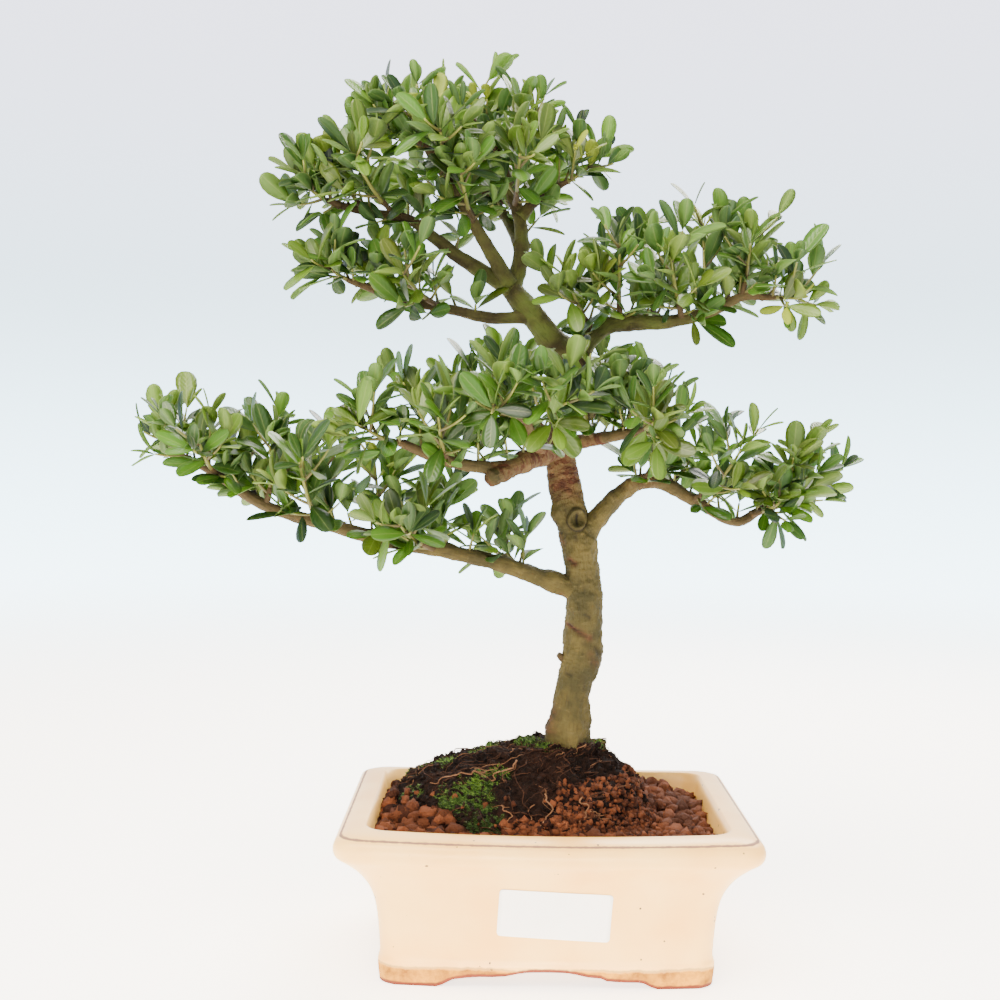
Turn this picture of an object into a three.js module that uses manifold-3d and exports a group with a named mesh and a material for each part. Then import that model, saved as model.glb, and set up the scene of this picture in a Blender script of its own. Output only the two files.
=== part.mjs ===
// A japanese holly bonsai in a cream glazed pot.
// Millimetres, +Z up. The model is drawn round the middle of the pot's foot, with -Y towards the viewer.
// At the end the whole group is moved so that its origin is under the middle of its own bounding box.

import * as THREE from 'three';
import { mergeVertices } from 'three/addons/utils/BufferGeometryUtils.js';
import Module from 'manifold-3d';

const wasm = await Module();
wasm.setup();

const GAP = 0.3; // clearance between two pieces that touch on the real object

// Driving dimensions of the pot

const FOOT_HALF = { x: 75, y: 53 }; // half the length and half the depth at the foot
const POT_BOW = 4; // how far the long walls bulge outwards at their middle
const CORNER_RADIUS = 9;
const RIM_SAG = { deep: 1, above: 60 }; // how much the long rims sink at their middle, and from what height
const POT_FLOOR = { under: 7.6, top: 13 }; // underside and top of the floor
const FOOT_WALL = 9; // thickness of the foot ring
const DRAIN = { x: 38, radius: 8 };
const SCREEN = { x: 54, y: 13, thick: 1 }; // half sizes and thickness of the net over both drain holes

// The wall as pairs of height and outward offset from the foot's outline
const OUTER_WALL = [
  [0, 0], [9, 0.8], [14, 0], [32, 1.5], [42, 4], [50, 8.5], [56, 14], [60, 18.3], [64, 19.5], [67.5, 18.6],
  [69.3, 16.5],
];
const INNER_WALL = [[71, 6], [66, 5], [50, 1.5], [13, -6]];

// The arches between the feet, as pairs of distance from the middle and height, from the foot inwards
const FRONT_ARCH = [[47, 0], [44, 3.2], [18, 5.4], [10, 7.4]];
const SIDE_ARCH = [[28, 0], [25, 3.2], [16, 5.4]];

// Driving dimensions of the soil

const BED_TOP = { front: 66, right: 62.5, open: 90 }; // its height at the left and at the right, and a limit
const GRANULE = { pitch: 14, half: 6.2, scatter: 4, clearOfBall: 0.94 };

// The plain hole in the root ball that the trunk stands in
const TRUNK_FOOT = { x: 11, y: 2, bottom: 72, depth: 30, radius: { bottom: 9, mouth: 11.4 } };

// The root ball as rings: height, middle x and y, half length, half depth
const BALL_SIDES = 16;
const BALL_UNEVEN = { least: 0.93, spread: 0.13, bump: 3 };
const BALL_RINGS = [
  [34, -8, 2, 50, 38],
  [56, -12, 2, 62, 47],
  [64, -12, 2, 64, 49],
  [71, -12, 3, 60, 45],
  [80, -10, 4, 54, 38],
  [88, -6, 4, 41, 29],
  [94, 0, 3, 27, 20],
  [98, 10, 2, 15, 13],
];

// Driving dimensions of the label

const LABEL = { x: 3, z: 34, width: 50, height: 22.5, thick: 0.6, tilt: -3 };

// The limbs: rows of x, y, z and radius, each limb starting inside the one that carries it
const LIMBS = {
  trunk: {
    sides: 9,
    route: [
      [11, 2, 72, 8.3], [11, 2, 94, 9.9], [10.6, 1, 107, 9.5], [13, 0, 126, 8.6], [16.6, 0, 142, 9],
      [17, 0, 164, 8.6], [16, 0, 180, 8.1], [13.7, 1, 196, 8.2], [9.6, 2, 212, 7.4], [5.6, 4, 230, 7.2],
      [5.6, 4, 245, 6.8], [8, 2, 264, 6.4], [11, 0, 280, 6.4], [6, 0, 286, 5.6],
    ],
  },
  leader: {
    sides: 7,
    route: [[9, 0, 281, 6], [0, 0, 290, 5.9], [-9, 0, 301, 5.4], [-16, 0, 309, 5], [-21, 0, 316, 4.6]],
  },
  left: {
    sides: 6,
    route: [
      [15, 0, 171, 5], [-2, -3, 177, 4.2], [-24, -8, 184.5, 3.7], [-48, -12, 190, 3.5], [-76, -15, 195, 3.4],
      [-107, -17, 203, 3], [-132, -18, 210.5, 2.6], [-154, -17, 224, 2.1], [-168, -15, 231.5, 1.6],
    ],
  },
  right_low: {
    sides: 6,
    route: [
      [13, 0, 194, 5.4], [24.5, 1, 208, 4.6], [35.5, 3, 219, 4], [46.5, 6, 224, 3.5], [57, 8, 221.5, 3.1],
      [72, 11, 213.5, 2.7], [91, 15, 204.5, 2.4], [104, 17, 210.5, 1.9], [118, 19, 214, 1.6],
    ],
  },
  front: {
    sides: 6,
    route: [[6, 2, 240, 5], [-9, -22, 234, 4.3], [-19, -35, 230, 4.1], [-28, -45, 225, 3.8]],
  },
  front_left: {
    sides: 5,
    route: [[-18, -34, 229.5, 3.2], [-38, -46, 231, 2.8], [-54, -50, 235, 2.3], [-66, -52, 240, 1.8]],
  },
  front_mid: {
    sides: 5,
    route: [[-4, -14, 236, 3.4], [-9, -32, 243, 2.8], [-12, -48, 249, 2.3], [-12, -60, 254, 1.8]],
  },
  front_right: {
    sides: 5,
    route: [[6, 2, 241, 4], [18, -14, 243, 3.2], [28, -30, 245, 2.6], [38, -44, 247, 1.9]],
  },
  back: { sides: 5, route: [[5, 4, 240, 4.2], [-4, 26, 248, 3.3], [-14, 46, 257, 2.6], [-20, 58, 264, 1.9]] },
  back_right: { sides: 5, route: [[-1, 18, 245, 3], [14, 36, 252, 2.5], [26, 48, 258, 1.9]] },
  right_up: {
    sides: 6,
    route: [
      [9, 0, 279, 5.4], [18.5, -2, 292, 4.6], [31, -5, 298, 4], [53, -10, 298.5, 3.3], [72, -12, 303, 2.7],
      [87, -14, 310, 2.1], [98, -16, 310, 1.7],
    ],
  },
  low_left: {
    sides: 5,
    route: [
      [-8, 0, 301, 3.2], [-28, -5, 299.5, 2.7], [-46, -11, 302.5, 2.4], [-62, -16, 305, 2.2],
      [-77, -20, 308.5, 2], [-90, -23, 313, 1.6],
    ],
  },
  crown_left: {
    sides: 5,
    route: [
      [-20, 0, 314, 3.9], [-42, -4, 326.5, 3.3], [-56, -8, 336, 2.9], [-68, -11, 344, 2.4],
      [-86, -14, 346.5, 2], [-99, -18, 349, 1.6],
    ],
  },
  crown_up: {
    sides: 5,
    route: [
      [-20, 0, 314, 4], [-16, 3, 324, 3.6], [-15, 5, 336, 3.4], [-16, 6, 347, 3.2], [-20, 8, 359, 2.9],
      [-25, 10, 374, 2.3], [-29, 10, 386, 1.7],
    ],
  },
  crown_mid: {
    sides: 5,
    route: [[-21, -2, 316, 3.6], [-35, -13, 338, 3], [-49, -22, 360, 2.5], [-60, -24, 376, 1.9]],
  },
  crown_right: { sides: 5, route: [[-16, 5, 348, 2.8], [-9, 7, 356, 2.3], [0, 8, 363, 1.8]] },
  crown_back: {
    sides: 5,
    route: [[-15, 4, 334, 3.2], [-22, 26, 350, 2.7], [-32, 44, 366, 2.2], [-38, 54, 378, 1.8]],
  },
};

// An oval scar on the trunk's front and a dead spur on its left
const SCAR = { at: [13.4, -5, 205], radius: { out: 4.6, in: 5.6 }, depth: 9, tall: 1.3, sides: 9 };
const SPUR = { route: [[15, -1, 138], [8, -2, 139], [5, -3, 141]], radii: [3, 2, 1.2], sides: 5 };

// The leafy sprays: limb, place along it in route points, and where the middle shoot ends
const SPRAYS = {
  crown: [
    ['crown_left', 5, [-114, -24, 357]],
    ['crown_left', 4, [-102, -8, 373]],
    ['crown_left', 3.2, [-91, -44, 369]],
    ['crown_mid', 3, [-83, -12, 391]],
    ['crown_mid', 2.8, [-65, -30, 393]],
    ['crown_mid', 2, [-52, -54, 379]],
    ['crown_mid', 1.2, [-43, -52, 361]],
    ['crown_up', 5.6, [-39, 8, 407]],
    ['crown_up', 5, [-56, 30, 395]],
    ['crown_up', 5, [-9, -4, 396]],
    ['crown_up', 3.6, [-17, -44, 370]],
    ['crown_right', 2, [17, 0, 373]],
    ['crown_back', 3, [-40, 60, 396]],
    ['crown_back', 1.6, [-2, 46, 379]],
    ['crown_back', 2, [-74, 42, 370]],
  ],
  under_crown: [
    ['low_left', 5, [-103, -28, 320]],
    ['low_left', 3.6, [-81, 8, 329]],
    ['low_left', 2.4, [-69, -46, 317]],
  ],
  right_up: [
    ['right_up', 1.2, [5, -22, 321]],
    ['right_up', 2, [29, -26, 336]],
    ['right_up', 2.8, [45, 24, 348]],
    ['right_up', 3.4, [50, -44, 326]],
    ['right_up', 4, [70, 0, 350]],
    ['right_up', 4.6, [86, 24, 342]],
    ['right_up', 5, [91, -14, 340]],
    ['right_up', 5.8, [112, -28, 308]],
  ],
  middle: [
    ['front_left', 3, [-84, -64, 248]],
    ['front_left', 1.8, [-62, -34, 265]],
    ['front_left', 1.6, [-50, -82, 253]],
    ['front_mid', 1, [-23, -44, 271]],
    ['front_mid', 2.4, [-28, -84, 258]],
    ['front_mid', 3, [5, -82, 259]],
    ['front_right', 1.2, [11, -36, 270]],
    ['front_right', 2, [39, -34, 267]],
    ['front_right', 3, [42, -72, 252]],
  ],
  back: [
    ['back', 1.4, [-49, 42, 274]],
    ['back', 3, [-25, 74, 282]],
    ['back_right', 2, [29, 62, 276]],
  ],
  left: [
    ['left', 8, [-180, -12, 244]],
    ['left', 7, [-158, -44, 241]],
    ['left', 6.2, [-147, 14, 244]],
    ['left', 6, [-126, -24, 249]],
    ['left', 5, [-112, -54, 234]],
    ['left', 4.8, [-108, 14, 245]],
    ['left', 4, [-82, -24, 239]],
    ['left', 3.2, [-69, -48, 206]],
    ['left', 3, [-53, 16, 217]],
    ['left', 1.4, [-24, 6, 197]],
  ],
  right_low: [
    ['right_low', 2.8, [54, -12, 256]],
    ['right_low', 4, [78, 38, 251]],
    ['right_low', 4.8, [88, -22, 242]],
    ['right_low', 6.6, [109, -8, 216]],
    ['right_low', 7, [118, 2, 238]],
    ['right_low', 8, [132, 32, 226]],
  ],
};

// Growth of the shoots and leaves, as shares of a path or in millimetres

const TWIG = { foot: 1.4, middle: 2, end: 1.6, woodyShare: 0.3, bulge: { out: 0.6, up: 0.25 } };
const SHOOT = { foot: 1.4, top: 0.9, mainNodes: [0.42, 0.58, 0.74, 0.9], sideNodes: [0.35, 0.65, 0.92] };
const SIDE_SHOOTS = {
  kept: 2, length: 20, shorter: 1.5, foot: 1.1, vary: { least: 0.85, spread: 0.3 }, joined: 0.15,
};
const LEAF = { shortest: 14, longest: 22, slender: 0.46, keel: 1.2, arch: 0.06 };
const LEAF_STATIONS = [[0.36, 0.38], [0.78, 0.47]]; // share of the length, half width as a share of the width
const LEAN = { tip: 38, below: 38, spread: 16, end: 10 }; // degrees between a leaf and its shoot
const LEAVES_KEPT = 11; // for each spray
const YOUNG = { tip: 0.72, grown: 0.14 }; // the end leaf's share of full size, and what each next one adds
const WIDTH_VARIES = { least: 0.9, spread: 0.2 };

// Which way a leaf's upper side looks: shares of the shoot's direction, of upwards and of the way out
const LEAF_TURN = {
  rise: 0.18,
  roll: 0.6,
  side: { axis: 0.8, up: 0.6, radial: 0 },
  end: { axis: 0, up: 0.2, radial: -1 },
};
const GOLDEN_ANGLE = 137.5;

// Turns a stem's ring so that two of its faces look towards the node's two leaves
const FACE_TURN = GOLDEN_ANGLE / 2 - 120;

// How a side shoot leaves its node: shares of the stem's direction, of its own and of upwards, and its turn
const SIDE_LEAVES = { along: 0.5, out: 0.8, up: 0.15, turn: 1.8 * GOLDEN_ANGLE };
const SIDE_BEND = { at: 0.55, rise: 0.22 };

// Colours, roughness and metalness of the pieces

const FINISHES = {
  glaze: new THREE.MeshStandardMaterial({ color: 0xf2dfc0, roughness: 0.35, metalness: 0 }),
  paper: new THREE.MeshStandardMaterial({ color: 0xf6f5f2, roughness: 0.6, metalness: 0 }),
  net: new THREE.MeshStandardMaterial({ color: 0x2b2b2b, roughness: 0.6, metalness: 0 }),
  akadama: new THREE.MeshStandardMaterial({ color: 0x8a4a34, roughness: 0.95, metalness: 0 }),
  peat: new THREE.MeshStandardMaterial({ color: 0x35221a, roughness: 0.95, metalness: 0 }),
  bark: new THREE.MeshStandardMaterial({ color: 0x85775a, roughness: 0.85, metalness: 0 }),
  leaf: new THREE.MeshStandardMaterial({ color: 0x55793c, roughness: 0.45, metalness: 0 }),
};

const UP = new THREE.Vector3(0, 0, 1);

// A repeatable draw between 0 and 1 that depends only on its three numbers
function draw(a, b, c) {
  const wave = Math.sin(a * 12.9898 + b * 78.233 + c * 37.719) * 43758.5453;
  return wave - Math.floor(wave);
}

// The value at a height in a list of height and value pairs, straight between them
function between(pairs, height) {
  const next = pairs.findIndex(([z]) => z >= height);
  if (next <= 0) return pairs[Math.max(next, 0)][1];
  const [z0, v0] = pairs[next - 1];
  const [z1, v1] = pairs[next];
  return v0 + (v1 - v0) * (height - z0) / (z1 - z0);
}

// Geometry and solids

function meshGeometry(points, triangles) {
  const geometry = new THREE.BufferGeometry();
  geometry.setAttribute('position', new THREE.Float32BufferAttribute(points.flatMap((p) => p.toArray()), 3));
  geometry.setIndex(triangles.flat());
  return geometry;
}

function toSolid(geometry) {
  const bare = geometry.clone();
  bare.deleteAttribute('normal');
  bare.deleteAttribute('uv');
  const welded = mergeVertices(bare, 1e-4);
  return new wasm.Manifold(new wasm.Mesh({
    numProp: 3,
    vertProperties: Float32Array.from(welded.attributes.position.array),
    triVerts: Uint32Array.from(welded.index.array),
  }));
}

function toGeometry(solid) {
  const mesh = solid.getMesh();
  const geometry = new THREE.BufferGeometry();
  geometry.setAttribute('position', new THREE.Float32BufferAttribute(mesh.vertProperties, 3));
  geometry.setIndex(Array.from(mesh.triVerts));
  geometry.computeVertexNormals();
  return geometry;
}

// Rings of equal length, each running anticlockwise seen from the far end, skinned and closed at both ends.
// A last ring of a single point closes the skin in a tip.
function skin(rings) {
  const points = rings.flat();
  const sides = rings[0].length;
  const triangles = [];
  const tip = rings[rings.length - 1].length === 1;
  const full = tip ? rings.length - 1 : rings.length;
  for (let ring = 0; ring < full - 1; ring += 1) {
    for (let side = 0; side < sides; side += 1) {
      const a = ring * sides + side;
      const b = ring * sides + (side + 1) % sides;
      triangles.push([a, b, b + sides], [a, b + sides, a + sides]);
    }
  }
  const last = (full - 1) * sides;
  for (let side = 1; side < sides - 1; side += 1) {
    triangles.push([0, side + 1, side]);
    if (!tip) triangles.push([last, last + side, last + side + 1]);
  }
  for (let side = 0; tip && side < sides; side += 1) {
    triangles.push([last + side, last + (side + 1) % sides, last + sides]);
  }
  return meshGeometry(points, triangles);
}

// A round tube of changing radius through the given points, with flat ends or a pointed far end
function tube(points, radii, sides, pointed = false) {
  const rings = [];
  let side = null;
  points.forEach((point, i) => {
    const before = points[Math.max(i - 1, 0)];
    const after = points[Math.min(i + 1, points.length - 1)];
    const along = after.clone().sub(before).normalize();
    if (side === null) side = new THREE.Vector3(0.3, -1, 0.2);
    side.addScaledVector(along, -side.dot(along)).normalize();
    const other = along.clone().cross(side);
    if (pointed && i === points.length - 1) {
      rings.push([point.clone()]);
      return;
    }
    const ring = [];
    for (let k = 0; k < sides; k += 1) {
      const angle = 2 * Math.PI * k / sides;
      ring.push(point.clone()
        .addScaledVector(side, radii[i] * Math.cos(angle))
        .addScaledVector(other, radii[i] * Math.sin(angle)));
    }
    rings.push(ring);
  });
  return skin(rings);
}

// The pot

// The pot's outline at an outward offset from the foot: rounded corners, long sides that bulge
function potOutline(offset, height, shrink = 0) {
  const halfX = FOOT_HALF.x + offset - shrink;
  const halfY = FOOT_HALF.y + offset - shrink;
  const outline = [];
  const add = (x, y) => {
    const middle = 1 - (x / halfX) ** 2;
    const sag = height > RIM_SAG.above ? RIM_SAG.deep * middle : 0;
    outline.push(new THREE.Vector3(x, y + Math.sign(y) * POT_BOW * middle, height - sag));
  };
  const straightX = halfX - CORNER_RADIUS;
  const straightY = halfY - CORNER_RADIUS;
  [[1, 1], [-1, 1], [-1, -1], [1, -1]].forEach(([signX, signY], corner) => {
    [0, 45, 90].forEach((degrees) => {
      const angle = THREE.MathUtils.degToRad(degrees + 90 * corner);
      const x = signX * straightX + CORNER_RADIUS * Math.cos(angle);
      const y = signY * straightY + CORNER_RADIUS * Math.sin(angle);
      add(x, y);
    });
    if (corner % 2 === 1) return;
    [0.6, 0.2, -0.2, -0.6].forEach((share) => add(signX * share * straightX, signY * halfY));
  });
  return outline;
}

// A bar with the arch's outline, long enough to cut both walls
function archCutter(arch, length) {
  const [[halfWidth]] = arch;
  const right = arch.map(([x, height]) => new THREE.Vector2(x, height));
  const left = arch.map(([x, height]) => new THREE.Vector2(-x, height)).reverse();
  const below = [-halfWidth, halfWidth].map((x) => new THREE.Vector2(x, -POT_FLOOR.under));
  const shape = new THREE.Shape([...below, ...right, ...left]);
  const geometry = new THREE.ExtrudeGeometry(shape, { depth: length, bevelEnabled: false });
  geometry.rotateX(Math.PI / 2);
  return geometry.translate(0, length / 2, 0);
}

function potSolid() {
  const outer = OUTER_WALL.map(([height, offset]) => potOutline(offset, height));
  const inner = INNER_WALL.map(([height, offset]) => potOutline(offset, height));
  const body = toSolid(skin([...outer, ...inner]));
  const pocketSize = { x: 2 * (FOOT_HALF.x - FOOT_WALL), y: 2 * (FOOT_HALF.y - FOOT_WALL) };
  const pocket = new THREE.BoxGeometry(pocketSize.x, pocketSize.y, 2 * POT_FLOOR.under);
  const sideArch = archCutter(SIDE_ARCH, 4 * FOOT_HALF.x).rotateZ(Math.PI / 2);
  let solid = body;
  [pocket, archCutter(FRONT_ARCH, 4 * FOOT_HALF.y), sideArch].forEach((cutter) => {
    solid = solid.subtract(toSolid(cutter));
  });
  [-DRAIN.x, DRAIN.x].forEach((x) => {
    const drill = new THREE.CylinderGeometry(DRAIN.radius, DRAIN.radius, 4 * POT_FLOOR.top, 12);
    drill.rotateX(Math.PI / 2).translate(x, 0, POT_FLOOR.top);
    solid = solid.subtract(toSolid(drill));
  });
  return solid;
}

// The label follows the front wall, which bulges and leans outwards
function labelSolid() {
  const columns = 4;
  const rows = 2;
  const tilt = THREE.MathUtils.degToRad(LABEL.tilt);
  const sheet = (lift) => {
    const points = [];
    for (let row = 0; row <= rows; row += 1) {
      for (let column = 0; column <= columns; column += 1) {
        const across = LABEL.width * (column / columns - 0.5);
        const up = LABEL.height * (row / rows - 0.5);
        const x = LABEL.x + across * Math.cos(tilt) - up * Math.sin(tilt);
        const z = LABEL.z + across * Math.sin(tilt) + up * Math.cos(tilt);
        const offset = between(OUTER_WALL, z);
        const bow = POT_BOW * (1 - (x / (FOOT_HALF.x + offset)) ** 2);
        points.push(new THREE.Vector3(x, -(FOOT_HALF.y + offset + bow + lift), z));
      }
    }
    return points;
  };
  const points = [...sheet(GAP + LABEL.thick), ...sheet(GAP)];
  const behind = points.length / 2;
  const wide = columns + 1;
  const triangles = [];
  for (let row = 0; row < rows; row += 1) {
    for (let column = 0; column < columns; column += 1) {
      const a = row * wide + column;
      triangles.push([a, a + 1, a + wide + 1], [a, a + wide + 1, a + wide]);
      triangles.push([behind + a, behind + a + wide + 1, behind + a + 1]);
      triangles.push([behind + a, behind + a + wide, behind + a + wide + 1]);
    }
  }
  const edge = [];
  for (let column = 0; column < columns; column += 1) edge.push(column);
  for (let row = 0; row < rows; row += 1) edge.push(row * wide + columns);
  for (let column = columns; column > 0; column -= 1) edge.push(rows * wide + column);
  for (let row = rows; row > 0; row -= 1) edge.push(row * wide);
  edge.forEach((a, i) => {
    const b = edge[(i + 1) % edge.length];
    triangles.push([a, behind + a, behind + b], [a, behind + b, b]);
  });
  return toSolid(meshGeometry(points, triangles));
}

// The soil

function ballGeometry(grow) {
  const rings = BALL_RINGS.map(([height, x, y, halfX, halfY], level) => {
    const ring = [];
    const buried = level < 2;
    const slope = level > 2 && level < BALL_RINGS.length - 1;
    for (let k = 0; k < BALL_SIDES; k += 1) {
      const angle = 2 * Math.PI * k / BALL_SIDES;
      const uneven = buried ? 1 : BALL_UNEVEN.least + BALL_UNEVEN.spread * draw(level, k, 1);
      const bump = slope ? BALL_UNEVEN.bump * (draw(level, k, 2) - 0.5) : 0;
      ring.push(new THREE.Vector3(
        x + (halfX * uneven + grow) * Math.cos(angle),
        y + (halfY * uneven + grow) * Math.sin(angle),
        height + bump + (level === 0 ? -grow : grow),
      ));
    }
    return ring;
  });
  return skin(rings);
}

function trunkFootHole() {
  const { x, y, bottom, depth, radius } = TRUNK_FOOT;
  const drill = new THREE.CylinderGeometry(radius.mouth, radius.bottom, depth, 12).rotateX(Math.PI / 2);
  return toSolid(drill.translate(x, y, bottom - GAP + depth / 2));
}

function bedHeight(x) {
  return x < 0 ? BED_TOP.front : BED_TOP.front + (BED_TOP.right - BED_TOP.front) * x / FOOT_HALF.x;
}

// The space inside the pot's walls, clear of them, up to a height that may change with x
function insidePot(topOf) {
  const levels = [POT_FLOOR.top + GAP, 50];
  const wall = [...INNER_WALL].reverse();
  const rings = levels.map((z) => potOutline(between(wall, z), z, GAP));
  const last = potOutline(between(wall, BED_TOP.front), BED_TOP.front, GAP);
  rings.push(last.map((p) => new THREE.Vector3(p.x, p.y, topOf(p.x))));
  return toSolid(skin(rings));
}

function granule(x, y, index) {
  const stone = new THREE.OctahedronGeometry(1, 0);
  const size = GRANULE.half * (0.8 + 0.4 * draw(index, 1, 3));
  stone.scale(size, size * (0.75 + 0.4 * draw(index, 2, 3)), size * (0.7 + 0.3 * draw(index, 3, 3)));
  stone.rotateX(1.2 * (draw(index, 4, 3) - 0.5));
  stone.rotateZ(2 * Math.PI * draw(index, 5, 3));
  return toSolid(stone.translate(x, y, bedHeight(x) - 0.5));
}

function bedSolid(ball) {
  const pieces = [insidePot(bedHeight)];
  let index = 0;
  for (let x = -FOOT_HALF.x; x <= FOOT_HALF.x; x += GRANULE.pitch) {
    for (let y = -FOOT_HALF.y; y <= FOOT_HALF.y; y += GRANULE.pitch) {
      index += 1;
      const px = x + GRANULE.scatter * (draw(index, 6, 3) - 0.5);
      const py = y + GRANULE.scatter * (draw(index, 7, 3) - 0.5);
      const [, midX, midY, halfX, halfY] = BALL_RINGS[2];
      const reach = ((px - midX) / halfX) ** 2 + ((py - midY) / halfY) ** 2;
      if (reach > GRANULE.clearOfBall) pieces.push(granule(px, py, index));
    }
  }
  const tall = insidePot(() => BED_TOP.open);
  const recess = new THREE.BoxGeometry(2 * SCREEN.x, 2 * SCREEN.y, 2 * (SCREEN.thick + 2 * GAP));
  recess.scale(1 + GAP / SCREEN.x, 1 + GAP / SCREEN.y, 1).translate(0, 0, POT_FLOOR.top);
  return wasm.Manifold.union(pieces)
    .intersect(tall)
    .subtract(ball)
    .subtract(toSolid(recess));
}

// The tree

function vector([x, y, z]) {
  return new THREE.Vector3(x, y, z);
}

// The point of a limb at a place given in route points, such as 2.5 for halfway from the third to the fourth
function alongLimb(route, place) {
  const start = Math.min(Math.floor(place), route.length - 2);
  return vector(route[start]).lerp(vector(route[start + 1]), place - start);
}

// A limb has one ring at each point of its route
function limbSolid({ sides, route }) {
  return toSolid(tube(route.map(vector), route.map((row) => row[3]), sides));
}

// The middle path of a spray, from its limb to its tip: out sideways first, then rising
function sprayPath([limb, place, tip]) {
  const foot = alongLimb(LIMBS[limb].route, place);
  const end = vector(tip);
  const bend = end.clone().sub(foot);
  bend.set(bend.x * TWIG.bulge.out, bend.y * TWIG.bulge.out, bend.z * TWIG.bulge.up).add(foot);
  return new THREE.QuadraticBezierCurve3(foot, bend, end);
}

function twigSolid(path) {
  const places = [0, TWIG.woodyShare / 2, TWIG.woodyShare];
  return toSolid(tube(places.map((u) => path.getPoint(u)), [TWIG.foot, TWIG.middle, TWIG.end], 3));
}

// Two directions square to a given one
function acrossDirections(along) {
  const first = along.clone().cross(Math.abs(along.z) > 0.9 ? new THREE.Vector3(1, 0, 0) : UP).normalize();
  const second = along.clone().cross(first).normalize();
  return [first, second];
}

// A direction square to a shoot, at an angle round it
function radialAt({ first, second }, degrees) {
  const angle = THREE.MathUtils.degToRad(degrees);
  return first.clone().multiplyScalar(Math.cos(angle)).addScaledVector(second, Math.sin(angle));
}

// A shoot has a node at each given place of its path. Each node carries two leaves, a golden angle apart,
// and has room for a side shoot where the third face of the stem lies.
function makeShoot(path, places, phase, radii, number) {
  const nodes = places.map((place, order) => {
    const axis = path.getTangent(place);
    const [first, second] = acrossDirections(axis);
    const turn = 360 * phase + 2 * GOLDEN_ANGLE * order;
    const radius = THREE.MathUtils.lerp(radii[0], radii[1], place);
    return { place, point: path.getPoint(place), axis, first, second, turn, radius, order };
  });
  return { path, nodes, number };
}

// A side shoot leaves its node away from the two leaves and rises a little
function sideShoot(node, spray, number) {
  const { vary } = SIDE_SHOOTS;
  const out = node.axis.clone().multiplyScalar(SIDE_LEAVES.along)
    .addScaledVector(radialAt(node, node.turn + SIDE_LEAVES.turn), SIDE_LEAVES.out)
    .addScaledVector(UP, SIDE_LEAVES.up)
    .normalize();
  const share = vary.least + vary.spread * draw(spray, number, 6);
  const length = (SIDE_SHOOTS.length - SIDE_SHOOTS.shorter * number) * share;
  const bend = node.point.clone().addScaledVector(out, SIDE_BEND.at * length);
  const end = node.point.clone().addScaledVector(out, length).addScaledVector(UP, SIDE_BEND.rise * length);
  const path = new THREE.QuadraticBezierCurve3(node.point, bend, end);
  return makeShoot(path, SHOOT.sideNodes, draw(spray, number, 11), [SIDE_SHOOTS.foot, SHOOT.top], number);
}

// The leaves of a shoot, its end leaf first: steep at the tip and flatter below, turned up to the light
function shootLeaves(shoot, spray) {
  const { nodes, number } = shoot;
  const last = nodes.length - 1;
  const leaves = [];
  for (let k = 0; k <= 2 * last + 2; k += 1) {
    const node = nodes[last - Math.floor(Math.max(k - 1, 0) / 2)];
    const age = (last - node.order) / last;
    const side = k === 0 ? 0 : (k + 1) % 2;
    const radial = radialAt(node, node.turn + GOLDEN_ANGLE * side);
    const spread = LEAN.spread * (draw(spray, number, 20 + k) - 0.5);
    const lean = THREE.MathUtils.degToRad(k === 0 ? LEAN.end : LEAN.tip + LEAN.below * age + spread);
    const along = node.axis.clone().multiplyScalar(Math.cos(lean))
      .addScaledVector(radial, Math.sin(lean))
      .addScaledVector(UP, LEAF_TURN.rise)
      .normalize();
    const face = k === 0 ? LEAF_TURN.end : LEAF_TURN.side;
    const up = node.axis.clone().multiplyScalar(face.axis)
      .addScaledVector(UP, face.up)
      .addScaledVector(radial, face.radial)
      .addScaledVector(along.clone().cross(UP), LEAF_TURN.roll * (draw(spray, number, 40 + k) - 0.5));
    up.addScaledVector(along, -up.dot(along)).normalize();
    const young = Math.min(1, YOUNG.tip + YOUNG.grown * k);
    const length = young * (LEAF.shortest + (LEAF.longest - LEAF.shortest) * draw(spray, number, 60 + k));
    const broad = WIDTH_VARIES.least + WIDTH_VARIES.spread * draw(spray, number, 80 + k);
    const width = length * LEAF.slender * broad;
    leaves.push({ foot: node.point, node, radial, along, up, length, width, order: k, atEnd: k === 0 });
  }
  return leaves;
}

// The three corners of a leaf at a share of its length: left, right and keel
function leafRing({ foot, along, up, length }, share, half, keel, grow = 0) {
  const across = up.clone().cross(along).normalize();
  const at = (side, lift) => foot.clone()
    .addScaledVector(along, share * length)
    .addScaledVector(across, side)
    .addScaledVector(up, lift - LEAF.arch * length * share * share);
  return [at(half + grow, grow), at(-half - grow, grow), at(0, -keel - grow)];
}

function leafRings(leaf, grow = 0) {
  return LEAF_STATIONS.map(([share, wide]) => leafRing(leaf, share, wide * leaf.width, LEAF.keel, grow));
}

function leafTip({ foot, along, up, length }) {
  return foot.clone().addScaledVector(along, length).addScaledVector(up, -LEAF.arch * length);
}

function middleOf(points) {
  return points.reduce((sum, point) => sum.add(point), new THREE.Vector3()).divideScalar(points.length);
}

// The turn of a ring of three points that brings it nearest to three corners
function nearestTurn(corners, ring) {
  const reach = (turn) => {
    return corners.reduce((sum, point, k) => sum + point.distanceToSquared(ring[(k + turn) % 3]), 0);
  };
  return [0, 1, 2].sort((a, b) => reach(a) - reach(b))[0];
}

// A leaf as a solid of its own, from the three corners that it grows out of, to test whether it is clear
function leafGuard(corners, leaf, grow) {
  const centre = middleOf(corners);
  const rings = leafRings(leaf, grow);
  const turn = nearestTurn(corners, rings[0]);
  const start = corners.map((point) => point.clone().lerp(centre, -grow / 2));
  const turned = rings.map((ring) => [0, 1, 2].map((k) => ring[(k + turn) % 3]));
  return toSolid(skin([start, ...turned, [leafTip(leaf)]]));
}

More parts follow.
